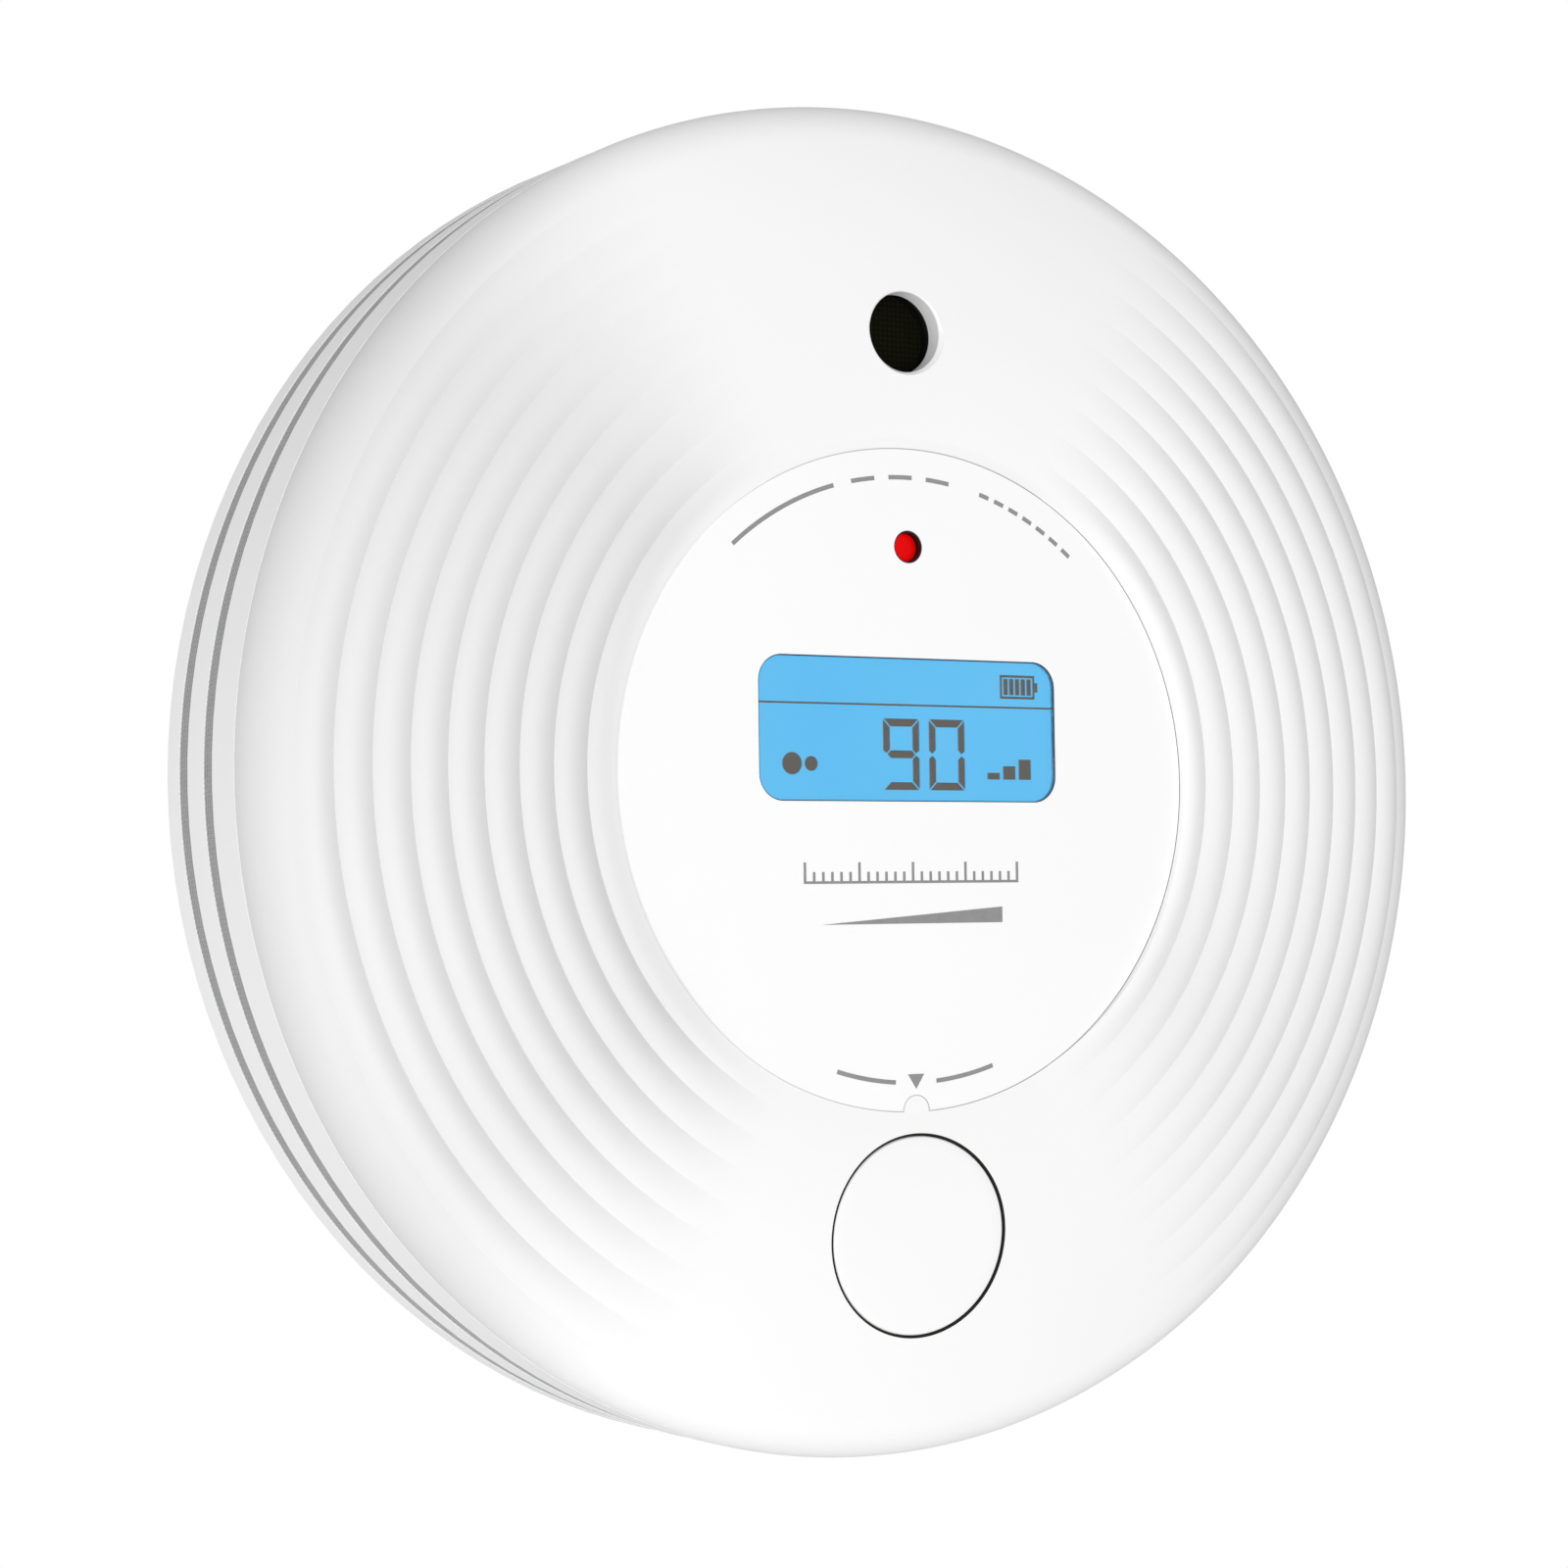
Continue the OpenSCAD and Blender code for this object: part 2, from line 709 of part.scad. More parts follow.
module smoke_chamber_cover() {
    color(black) on_wall()
        translate([chamber_x, chamber_y, 0]) difference() {
            ring(chamber_r, 0, chamber_floor, chamber_split);
            ring(chamber_in, 0, chamber_floor + chamber_wall, board_low);
            for (i = [0 : slit_count - 1])
                rotate([0, 0, i * 360 / slit_count])
                    translate([chamber_r - 2 * chamber_wall, -slit_w / 2, slit_low])
                        cube([3 * chamber_wall, slit_w, slit_high - slit_low]);
        }
}

module smoke_chamber_mesh() {
    color(steel) on_wall()
        translate([chamber_x, chamber_y, 0])
            ring(chamber_in, chamber_in - 0.2, chamber_floor + chamber_wall, mesh_top);
}

// Round-nosed part lying in the chamber, pointing at its centre
module opto(angle) {
    translate([chamber_x, chamber_y, opto_z])
        rotate([0, 0, angle]) translate([opto_distance, 0, 0]) rotate([0, -90, 0]) {
            cylinder(r = opto_r, h = opto_l);
            translate([0, 0, opto_l]) difference() {
                sphere(r = opto_r, $fn = 48);
                translate([-2 * opto_r, -2 * opto_r, -4 * opto_r]) cube(4 * opto_r);
            }
            translate([0, 0, -1]) cylinder(r = opto_r + 0.4, h = 1 + eps);
            for (y = [-1, 1])
                translate([-lead_w / 2, (y * lead_pitch - lead_w) / 2, -1.8])
                    cube([board_low - opto_z - 1.6, lead_w, 0.8 + eps]);
        }
}

module ir_emitter() {
    color([0.75, 0.82, 0.95]) on_wall() opto(emitter_angle);
}

module photodiode() {
    color([0.12, 0.1, 0.14]) on_wall() opto(diode_angle);
}

module co_sensor() {
    color(steel) on_wall()
        translate([sensor_x, sensor_y, 0]) difference() {
            union() {
                ring(sensor_r, 0, sensor_floor, board_low - 0.8);
                ring(sensor_r + 0.5, 0, board_low - 3, board_low - 1.6);
            }
            for (i = [0 : 5])
                rotate([0, 0, 60 * i]) translate([sensor_vent_place, 0, 0])
                    ring(sensor_vent_r, 0, sensor_floor - cut, sensor_floor + 1);
        }
}

module sensor_pins() {
    color(brass) on_wall()
        for (i = [0 : 2])
            translate([sensor_x, sensor_y, 0]) rotate([0, 0, 120 * i + 30]) translate([pin_place, 0, 0])
                ring(lead_w, 0, board_low - 0.8, board_low);
}

// ---- Sounder ----

module horn_housing() {
    color(black) on_wall()
        translate([0, sound_y, 0]) difference() {
            ring(horn_r, 0, board_top, horn_top);
            ring(horn_r - horn_wall, 0, board_top + 0.6, piezo_z);
            ring(horn_r - horn_wall - horn_step, 0, piezo_z - eps, horn_top - horn_wall);
            ring(sound_r + 0.4, 0, horn_top - 2 * horn_wall, horn_top + cut);
        }
}

module piezo_disc() {
    color(brass) on_wall()
        translate([0, sound_y, 0]) {
            ring(horn_r - horn_wall - 0.1, 0, piezo_z - 0.25, piezo_z);
            ring(ceramic_r, 0, piezo_z - 0.45, piezo_z - 0.25 + eps);
        }
}

module horn_gasket() {
    color(black) on_wall()
        translate([0, sound_y, 0]) ring(throat_r - 0.3, sound_r + 0.5, horn_top, throat_top);
}

module horn_coil() {
    color([0.55, 0.3, 0.15]) on_wall()
        translate([coil_x, coil_y, 0]) {
            ring(coil_flange_r, 0, board_low - coil_flange_t, board_low);
            ring(coil_flange_r - 1.4, 0, board_low - coil_h, board_low - coil_flange_t + eps);
            ring(coil_flange_r, 0, board_low - coil_h - coil_flange_t, board_low - coil_h + eps);
        }
}

module capacitors() {
    color([0.2, 0.22, 0.3]) on_wall()
        for (place = capacitor_places)
            translate([place[0], place[1], 0]) ring(capacitor_r, 0, board_low - capacitor_h, board_low);
}

// ---- Cells and contacts ----

// Round cell along x, its nub to the right
module cell(y) {
    translate([cell_neg, y, cell_z]) rotate([0, 90, 0]) {
        cylinder(r = cell_r, h = cell_l);
        cylinder(r = nub_r, h = cell_l + nub_l);
    }
}

module upper_cell() {
    color([0.25, 0.27, 0.3]) on_wall() cell(upper_cell_y);
}

module lower_cell() {
    color([0.25, 0.27, 0.3]) on_wall() mirror([1, 0, 0]) cell(lower_cell_y);
}

// Square plate standing against the bay's end wall
module contact_plate(side) {
    translate([side < 0 ? 0 : -contact_t, -contact_w / 2, -contact_w / 2])
        cube([contact_t, contact_w, contact_w]);
}

module contact_springs() {
    color(steel) on_wall()
        for (side = [-1, 1])
            translate([side * contact_x, side < 0 ? upper_cell_y : lower_cell_y, cell_z]) {
                contact_plate(side);
                rotate([0, side * -90, 0])
                    coil(contact_spring_r, 2.8, contact_wire_r, contact_t + 0.3, contact_x + cell_neg - 0.4,
                         2, 18, 8);
            }
}

module contact_plates() {
    nub_x = cell_neg + cell_l + nub_l;
    color(steel) on_wall()
        for (side = [-1, 1])
            translate([side * contact_x, side < 0 ? lower_cell_y : upper_cell_y, cell_z]) {
                contact_plate(side);
                rotate([0, side * -90, 0])
                    cylinder(r1 = nub_r + 0.8, r2 = nub_r - 0.2, h = contact_x - nub_x - 0.02);
            }
}

// ---- Battery door ----

module battery_door() {
    color(white) on_wall()
        difference() {
            union() {
                translate([-door_x, door_low, case_back])
                    cube([2 * door_x, door_shoulder - door_low, door_t]);
                translate([-barrel_x, door_shoulder - eps, case_back])
                    cube([2 * barrel_x, hinge_y - door_shoulder, door_t]);
                translate([0, hinge_y, hinge_z]) rotate([0, 90, 0]) {
                    cylinder(r = barrel_r, h = 2 * barrel_x, center = true);
                    cylinder(r = pin_r, h = 2 * pin_x, center = true);
                }
            }
            for (i = [0 : 3])
                translate([-grip_w / 2, door_low + 3 + 2 * i, case_back - cut])
                    cube([grip_w, 0.9, cut + 0.5]);
        }
}

mounting_bracket();
rear_housing();
vent_ring();
rear_insect_screen();
front_insect_screen();
middle_housing();
front_cover();
case_screws();
label_disc();
display_window();
lcd_glass();
lcd_backlight();
lcd_connector();
light_pipe();
led_sleeve();
status_led();
test_button();
button_spring();
tact_switch();
switch_plunger();
main_board();
controller_chip();
smoke_chamber_base();
smoke_chamber_cover();
smoke_chamber_mesh();
ir_emitter();
photodiode();
co_sensor();
sensor_pins();
horn_housing();
piezo_disc();
horn_gasket();
horn_coil();
capacitors();
upper_cell();
lower_cell();
contact_springs();
contact_plates();
battery_door();
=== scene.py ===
import json
import math

import bmesh
import bpy
import numpy as np
from mathutils import Matrix, Vector

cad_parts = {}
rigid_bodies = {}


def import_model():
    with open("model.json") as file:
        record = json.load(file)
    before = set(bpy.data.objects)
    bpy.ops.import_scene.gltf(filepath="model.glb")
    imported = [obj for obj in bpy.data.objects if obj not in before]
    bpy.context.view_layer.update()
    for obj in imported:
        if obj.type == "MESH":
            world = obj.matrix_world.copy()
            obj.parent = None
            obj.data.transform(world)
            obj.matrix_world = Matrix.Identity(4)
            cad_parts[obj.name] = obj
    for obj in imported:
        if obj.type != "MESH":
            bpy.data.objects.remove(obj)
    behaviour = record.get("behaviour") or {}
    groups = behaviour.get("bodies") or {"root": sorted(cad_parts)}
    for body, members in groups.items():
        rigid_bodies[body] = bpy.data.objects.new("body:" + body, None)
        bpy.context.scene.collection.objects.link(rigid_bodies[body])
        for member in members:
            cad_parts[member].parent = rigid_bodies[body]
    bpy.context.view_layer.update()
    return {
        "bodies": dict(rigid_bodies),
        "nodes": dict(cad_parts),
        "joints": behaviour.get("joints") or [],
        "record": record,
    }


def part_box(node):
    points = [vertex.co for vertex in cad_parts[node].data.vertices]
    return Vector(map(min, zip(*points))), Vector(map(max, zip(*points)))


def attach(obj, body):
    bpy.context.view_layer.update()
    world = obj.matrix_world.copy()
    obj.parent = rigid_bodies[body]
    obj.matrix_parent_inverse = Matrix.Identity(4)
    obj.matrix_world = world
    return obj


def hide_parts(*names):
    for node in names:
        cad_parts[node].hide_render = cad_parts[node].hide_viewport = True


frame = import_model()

nodes = frame["nodes"]
scene = bpy.context.scene
mm = 0.001
head = "detector_head"

# The case is drawn in millimetres: x to the right, up the wall, and out from the wall.
# The frame has +Z up and the room at -Y, so out runs along -Y.


def place(x, up, out):
    return Vector((x, -out, up)) * mm


def nodeFront(name):     # how far a node reaches out from the wall
    return -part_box(name)[0].y / mm


def nodeCentre(name):    # its middle across and up the wall
    low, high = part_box(name)
    return (low.x + high.x) / 2 / mm, (low.z + high.z) / 2 / mm


labelFront = nodeFront("label_disc")
labelRadius = (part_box("label_disc")[1].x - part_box("label_disc")[0].x) / 2 / mm
coverSeat = -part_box("middle_housing")[0].y / mm - 1      # the middle housing's lip stands 1 mm into the cover
lampX, lampUp = nodeCentre("led_sleeve")
buttonX, buttonUp = nodeCentre("test_button")
soundX, soundUp = nodeCentre("horn_gasket")
windowX, windowUp = nodeCentre("display_window")

# Nodes, colours and materials


def addNode(tree, kind, inputs=None, **settings):
    node = tree.nodes.new(kind)
    for key, value in settings.items():
        setattr(node, key, value)
    for socket, value in (inputs or {}).items():
        if isinstance(value, bpy.types.NodeSocket):
            tree.links.new(value, node.inputs[socket])
        else:
            node.inputs[socket].default_value = value
    return node


def hexColour(code):     # sRGB hex to the linear values that a shader takes
    parts = [int(code[i:i + 2], 16) / 255 for i in (1, 3, 5)]
    return tuple(p / 12.92 if p <= 0.04045 else ((p + 0.055) / 1.055) ** 2.4 for p in parts) + (1.0,)


def newMaterial(name, colour, roughness, ior=1.5, metallic=0.0):
    material = bpy.data.materials.new(name)
    material.use_nodes = True
    shader = material.node_tree.nodes["Principled BSDF"]
    shader.inputs["Base Color"].default_value = hexColour(colour)
    shader.inputs["Roughness"].default_value = roughness
    shader.inputs["IOR"].default_value = ior
    shader.inputs["Metallic"].default_value = metallic
    return material, material.node_tree, shader


def grainOver(tree, shader, grain, height, tint=None, tintSize=20.0):
    # moulded or cast grain of a real size in mm, and a faint drift of colour over a larger one
    spot = addNode(tree, "ShaderNodeTexCoord").outputs["Object"]
    noise = addNode(tree, "ShaderNodeTexNoise", {"Vector": spot, "Scale": 1 / (grain * mm), "Detail": 2.0})
    bump = addNode(tree, "ShaderNodeBump", {"Height": noise.outputs["Fac"], "Distance": height * mm,
                                            "Strength": 1.0})
    tree.links.new(bump.outputs["Normal"], shader.inputs["Normal"])
    if tint:
        drift = addNode(tree, "ShaderNodeTexNoise", {"Vector": spot, "Scale": 1 / (tintSize * mm),
                                                     "Detail": 3.0})
        ramp = addNode(tree, "ShaderNodeMix", {"Factor": drift.outputs["Fac"], "A": hexColour(tint[0]),
                                               "B": hexColour(tint[1])}, data_type="RGBA")
        tree.links.new(ramp.outputs["Result"], shader.inputs["Base Color"])


print("materials")


def caseAbs(name, tint, grain, roughness):
    # Injection-moulded white ABS from a finely spark-eroded tool: soft satin, its grain felt more than seen.
    material, tree, shader = newMaterial(name, tint[0], roughness, 1.53)
    grainOver(tree, shader, grain, 0.004, tint, 30.0)
    return material


satinAbs = caseAbs("satinWhiteAbs", ("#F4F4F5", "#F6F6F6"), 0.35, 0.55)
buttonAbs = caseAbs("buttonWhiteAbs", ("#F3F3F3", "#F5F5F5"), 0.25, 0.4)
bracketAbs = caseAbs("bracketWhiteAbs", ("#DFE0E0", "#E4E4E4"), 0.5, 0.6)

# Screen-printed polycarbonate film with a velvet face: whiter and finer than the case.
labelFilm, tree, shader = newMaterial("velvetLabelFilm", "#FBFBFB", 0.5, 1.58)
grainOver(tree, shader, 0.12, 0.001, ("#F6F6F6", "#F8F8F8"), 12.0)

# Matt grey screen ink, slightly broken at its edges by the film's texture.
greyInk, tree, shader = newMaterial("greyScreenInk", "#8C8C8C", 0.7, 1.5)
grainOver(tree, shader, 0.1, 0.002, ("#858585", "#949494"), 0.6)

# Clear cast acrylic, polished: the display is seen through it with a faint gloss.
clearAcrylic, tree, shader = newMaterial("clearAcrylic", "#FFFFFF", 0.03, 1.49)
shader.inputs["Transmission Weight"].default_value = 1.0
shader.inputs["Alpha"].default_value = 0.25
grainOver(tree, shader, 3.0, 0.0004)

# Black-blue paint round the display's edge, glossy from the back of the film.
windowPaint, tree, shader = newMaterial("windowBorderPaint", "#0D2A4A", 0.35, 1.5)
grainOver(tree, shader, 0.2, 0.001, ("#0A2240", "#12335A"), 2.0)

# Backlit blue liquid crystal cell: an even light guide, its brightness drifting a little at random.
blueCell, tree, shader = newMaterial("backlitBlueCell", "#0C2E40", 0.5, 1.5)
spot = addNode(tree, "ShaderNodeTexCoord").outputs["Object"]
glow = addNode(tree, "ShaderNodeTexNoise", {"Vector": spot, "Scale": 1 / (14 * mm), "Detail": 1.0})
lit = addNode(tree, "ShaderNodeMix", {"Factor": glow.outputs["Fac"], "A": hexColour("#52B4E8"),
                                      "B": hexColour("#5EBCEC")}, data_type="RGBA")
tree.links.new(lit.outputs["Result"], shader.inputs["Emission Color"])
shader.inputs["Emission Strength"].default_value = 1.0

# Driven liquid crystal: dark, with a little of the backlight coming through.
darkSegment, tree, shader = newMaterial("darkCrystal", "#1A1815", 0.6, 1.5)
spot = addNode(tree, "ShaderNodeTexCoord").outputs["Object"]
leak = addNode(tree, "ShaderNodeTexNoise", {"Vector": spot, "Scale": 1 / (0.8 * mm), "Detail": 2.0})
lit = addNode(tree, "ShaderNodeMix", {"Factor": leak.outputs["Fac"], "A": hexColour("#4E4A46"),
                                      "B": hexColour("#585450")}, data_type="RGBA")
tree.links.new(lit.outputs["Result"], shader.inputs["Emission Color"])
shader.inputs["Emission Strength"].default_value = 1.0

# Red acrylic light guide, lit from behind and a little darker towards the right.
redGuide, tree, shader = newMaterial("redLightGuide", "#B80002", 0.25, 1.49)
spot = addNode(tree, "ShaderNodeTexCoord").outputs["Object"]
sideways = addNode(tree, "ShaderNodeSeparateXYZ", {0: spot}).outputs["X"]
fade = addNode(tree, "ShaderNodeMapRange", {"Value": sideways, "From Min": -1.5 * mm, "From Max": 1.5 * mm})
lit = addNode(tree, "ShaderNodeMix", {"Factor": fade.outputs[0], "A": hexColour("#C60002"),
                                      "B": hexColour("#8C0001")}, data_type="RGBA")
tree.links.new(lit.outputs["Result"], shader.inputs["Emission Color"])
shader.inputs["Emission Strength"].default_value = 0.8
shader.inputs["Specular IOR Level"].default_value = 0.1      # sunk in its black sleeve, with little to mirror

# Black ABS, moulded smooth.
blackAbs, tree, shader = newMaterial("smoothBlackAbs", "#0B0B0B", 0.45, 1.53)
grainOver(tree, shader, 0.3, 0.002, ("#090909", "#0F0F0F"), 6.0)

# Soft black silicone rubber: dull, with a fine skin. Also the dark ring of painted shade round the test button.
rubberAndGapShade, tree, shader = newMaterial("siliconeRubberAndGapShade", "#14140F", 0.8, 1.41)
grainOver(tree, shader, 0.4, 0.01, ("#10100C", "#1A1A14"), 3.0)

# Painted shade over the sounder: a dark olive polyester weave that stands for the shaded brass disc under the
# hole.
shadeCloth, tree, shader = newMaterial("shadeCloth", "#141309", 0.9, 1.15)     # loose fibres mirror little
spot = addNode(tree, "ShaderNodeTexCoord").outputs["Object"]
weave = addNode(tree, "ShaderNodeTexWave", {"Vector": spot, "Scale": 1 / (0.25 * mm) / 6.28},
                bands_direction="X")
weft = addNode(tree, "ShaderNodeTexWave", {"Vector": spot, "Scale": 1 / (0.25 * mm) / 6.28},
               bands_direction="Z")
both = addNode(tree, "ShaderNodeMath", {0: weave.outputs["Fac"], 1: weft.outputs["Fac"]},
               operation="MULTIPLY")
bump = addNode(tree, "ShaderNodeBump", {"Height": both.outputs[0], "Distance": 0.05 * mm, "Strength": 1.0})
colour = addNode(tree, "ShaderNodeMix", {"Factor": both.outputs[0], "A": hexColour("#0E0E06"),
                                         "B": hexColour("#1A190D")}, data_type="RGBA")
tree.links.new(colour.outputs["Result"], shader.inputs["Base Color"])
tree.links.new(bump.outputs["Normal"], shader.inputs["Normal"])


def drawnMetal(name, tint, roughness, grain, height):
    # Drawn or rolled metal: fine lines one way, drawn coarse enough to show.
    material, tree, shader = newMaterial(name, tint[0], roughness, metallic=1.0)
    spot = addNode(tree, "ShaderNodeTexCoord").outputs["Object"]
    along = addNode(tree, "ShaderNodeMapping", {"Vector": spot, "Scale": (0.08, 1.0, 1.0)})
    noise = addNode(tree, "ShaderNodeTexNoise", {"Vector": along.outputs[0], "Scale": 1 / (grain * mm),
                                                 "Detail": 3.0})
    bump = addNode(tree, "ShaderNodeBump", {"Height": noise.outputs["Fac"], "Distance": height * mm,
                                            "Strength": 1.0})
    colour = addNode(tree, "ShaderNodeMix", {"Factor": noise.outputs["Fac"], "A": hexColour(tint[0]),
                                             "B": hexColour(tint[1])}, data_type="RGBA")
    tree.links.new(bump.outputs["Normal"], shader.inputs["Normal"])
    tree.links.new(colour.outputs["Result"], shader.inputs["Base Color"])
    return material


nickelSteel = drawnMetal("nickelPlatedSteel", ("#B9B8B4", "#CFCECB"), 0.3, 0.3, 0.002)
rolledBrass = drawnMetal("rolledBrass", ("#8F7434", "#A98C48"), 0.4, 0.4, 0.003)

# Grey anodised wire cloth against insects: dull, each wire a little different.
greyWire, tree, shader = newMaterial("greyWireCloth", "#A6A6A6", 0.7, 1.5)
grainOver(tree, shader, 0.3, 0.004, ("#A0A0A1", "#ACACAC"), 1.5)
greyBacking, tree, shader = newMaterial("greyBackingTape", "#8C8C8C", 0.8, 1.5)
grainOver(tree, shader, 0.3, 0.01, ("#888889", "#929292"), 2.0)

# Glass-fibre board under green solder mask: glossy, with the copper tracks showing as lighter paths.
solderMask, tree, shader = newMaterial("greenSolderMask", "#1C5B33", 0.3, 1.55)
spot = addNode(tree, "ShaderNodeTexCoord").outputs["Object"]
tracks = addNode(tree, "ShaderNodeTexVoronoi", {"Vector": spot, "Scale": 1 / (2.4 * mm)},
                 distance="MANHATTAN",
                 feature="F1")
edge = addNode(tree, "ShaderNodeMapRange", {"Value": tracks.outputs["Distance"], "From Min": 0.28,
                                            "From Max": 0.34})
colour = addNode(tree, "ShaderNodeMix", {"Factor": edge.outputs[0], "A": hexColour("#17522C"),
                                         "B": hexColour("#2A7344")}, data_type="RGBA")
bump = addNode(tree, "ShaderNodeBump", {"Height": edge.outputs[0], "Distance": 0.02 * mm, "Strength": 1.0})
tree.links.new(colour.outputs["Result"], shader.inputs["Base Color"])
tree.links.new(bump.outputs["Normal"], shader.inputs["Normal"])

# Enamelled copper winding: fine turns side by side, under clear varnish.
copperWinding, tree, shader = newMaterial("enamelledWinding", "#7A3E1A", 0.3, 1.55)
spot = addNode(tree, "ShaderNodeTexCoord").outputs["Object"]
turns = addNode(tree, "ShaderNodeTexWave", {"Vector": spot, "Scale": 1 / (0.3 * mm) / 6.28},
                bands_direction="Y")
bump = addNode(tree, "ShaderNodeBump", {"Height": turns.outputs["Fac"], "Distance": 0.06 * mm,
                                        "Strength": 1.0})
colour = addNode(tree, "ShaderNodeMix", {"Factor": turns.outputs["Fac"], "A": hexColour("#5A2A10"),
                                         "B": hexColour("#A35A28")}, data_type="RGBA")
tree.links.new(colour.outputs["Result"], shader.inputs["Base Color"])
tree.links.new(bump.outputs["Normal"], shader.inputs["Normal"])

# Heat-shrunk PVC sleeve: smooth, glossy and slightly uneven.
shrinkSleeve, tree, shader = newMaterial("shrinkSleeve", "#23273A", 0.25, 1.54)
grainOver(tree, shader, 2.0, 0.03, ("#1E2233", "#2A2F45"), 5.0)

# Cell wrap: dark foil with a pale band near the terminal end.
cellWrap, tree, shader = newMaterial("foilCellWrap", "#2F3438", 0.3, 1.5)
spot = addNode(tree, "ShaderNodeTexCoord").outputs["Object"]
sideways = addNode(tree, "ShaderNodeSeparateXYZ", {0: spot}).outputs["X"]
distance = addNode(tree, "ShaderNodeMath", {0: sideways}, operation="ABSOLUTE").outputs[0]
band = addNode(tree, "ShaderNodeMath", {0: distance, 1: 15 * mm}, operation="GREATER_THAN").outputs[0]
tip = addNode(tree, "ShaderNodeMath", {0: distance, 1: 23.6 * mm}, operation="GREATER_THAN").outputs[0]
colour = addNode(tree, "ShaderNodeMix", {"Factor": band, "A": hexColour("#2B3034"),
                                         "B": hexColour("#6E8F86")},
                 data_type="RGBA")
ends = addNode(tree, "ShaderNodeMix", {"Factor": tip, "A": colour.outputs["Result"],
                                       "B": hexColour("#C9C9C6")},
               data_type="RGBA")
tree.links.new(ends.outputs["Result"], shader.inputs["Base Color"])
tree.links.new(tip, shader.inputs["Metallic"])

# Water-clear or pale epoxy of the light-emitting parts.
paleEpoxy, tree, shader = newMaterial("paleEpoxy", "#E6E2D6", 0.2, 1.54)
grainOver(tree, shader, 0.8, 0.004, ("#DEDACC", "#ECE9DF"), 1.5)
lightGuide, tree, shader = newMaterial("frostedLightGuide", "#EAF2F6", 0.35, 1.49)
grainOver(tree, shader, 0.4, 0.006, ("#E2ECF2", "#F0F6FA"), 4.0)

# Mesh helpers


def takePiece(name, mesh, material, body, replaced=()):
    piece = bpy.data.objects.new(name, mesh)
    scene.collection.objects.link(piece)
    mesh.materials.clear()
    mesh.materials.append(material)
    return settle(piece, body, replaced)


def settle(piece, body, replaced=()):
    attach(piece, body)
    if replaced:
        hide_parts(*replaced)
    return piece


def turnedMesh(name, profile, x, up, steps, closed=True):
    # a closed outline of (radius, out) points turned about an axis that runs out from the wall
    mesh = bpy.data.meshes.new(name)
    shape = bmesh.new()
    rings = []
    for radius, out in profile:
        if radius == 0:
            rings.append([shape.verts.new(place(x, up, out))] * steps)
        else:
            angles = [2 * math.pi * k / steps for k in range(steps)]
            rings.append([shape.verts.new(place(x + radius * math.cos(a), up + radius * math.sin(a), out))
                          for a in angles])
    pairs = list(zip(rings, rings[1:])) + ([(rings[-1], rings[0])] if closed else [])
    for one, two in pairs:
        for k in range(steps):
            corners = []
            for v in (one[k], one[(k + 1) % steps], two[(k + 1) % steps], two[k]):
                if v not in corners:
                    corners.append(v)
            if len(corners) > 2:
                shape.faces.new(corners)
    bmesh.ops.recalc_face_normals(shape, faces=shape.faces)
    shape.to_mesh(mesh)
    shape.free()
    return mesh


def softEdges(mesh, angle=30):
    mesh.polygons.foreach_set("use_smooth", [True] * len(mesh.polygons))
    mesh.set_sharp_from_angle(angle=math.radians(angle))
    return mesh


def arcPoints(cx, cy, radius, start, end, count):
    angles = [math.radians(start + (end - start) * k / count) for k in range(count + 1)]
    return [(cx + radius * math.cos(a), cy + radius * math.sin(a)) for a in angles]


def roundRect(width, height, corner, count=10):
    w, h = width / 2 - corner, height / 2 - corner
    return [p for cx, cy, start in ((w, h, 0), (-w, h, 90), (-w, -h, 180), (w, -h, 270))
            for p in arcPoints(cx, cy, corner, start, start + 90, count)]


def platesMesh(name, outlines, x, up, low, high):
    # flat closed plates with the given outlines, between two heights
    mesh = bpy.data.meshes.new(name)
    shape = bmesh.new()
    for outline in outlines:
        under = [shape.verts.new(place(x + px, up + py, low)) for px, py in outline]
        over = [shape.verts.new(place(x + px, up + py, high)) for px, py in outline]
        shape.faces.new(under)
        shape.faces.new(over)
        for k in range(len(outline)):
            j = (k + 1) % len(outline)
            shape.faces.new((under[k], under[j], over[j], over[k]))
    bmesh.ops.recalc_face_normals(shape, faces=shape.faces)
    shape.to_mesh(mesh)
    shape.free()
    return mesh


def bar(x, y, wide, tall):   # an upright rectangle's outline from its lower left corner
    return [(x, y), (x + wide, y), (x + wide, y + tall), (x, y + tall)]


def stitchedRings(name, loops):      # rings of points joined each to the next, and the last to the first
    mesh = bpy.data.meshes.new(name)
    shape = bmesh.new()
    rings = [[shape.verts.new(point) for point in loop] for loop in loops]
    for one, two in zip(rings, rings[1:] + rings[:1]):
        for k in range(len(one)):
            j = (k + 1) % len(one)
            shape.faces.new((one[k], one[j], two[j], two[k]))
    bmesh.ops.recalc_face_normals(shape, faces=shape.faces)
    shape.to_mesh(mesh)
    shape.free()
    return mesh


def bakedMesh(piece, name):   # the piece with its modifiers worked out, as a plain mesh
    graph = bpy.context.evaluated_depsgraph_get()
    graph.update()
    mesh = bpy.data.meshes.new_from_object(piece.evaluated_get(graph), depsgraph=graph)
    mesh.name = name
    bpy.data.objects.remove(piece)
    return mesh


def groupInput(tree, name, kind, value=None):
    socket = tree.interface.new_socket(name, in_out="INPUT", socket_type=kind)
    if value is not None:
        socket.default_value = value
    return socket.identifier


# Front cover: a shallow dome with ripples to the left and right

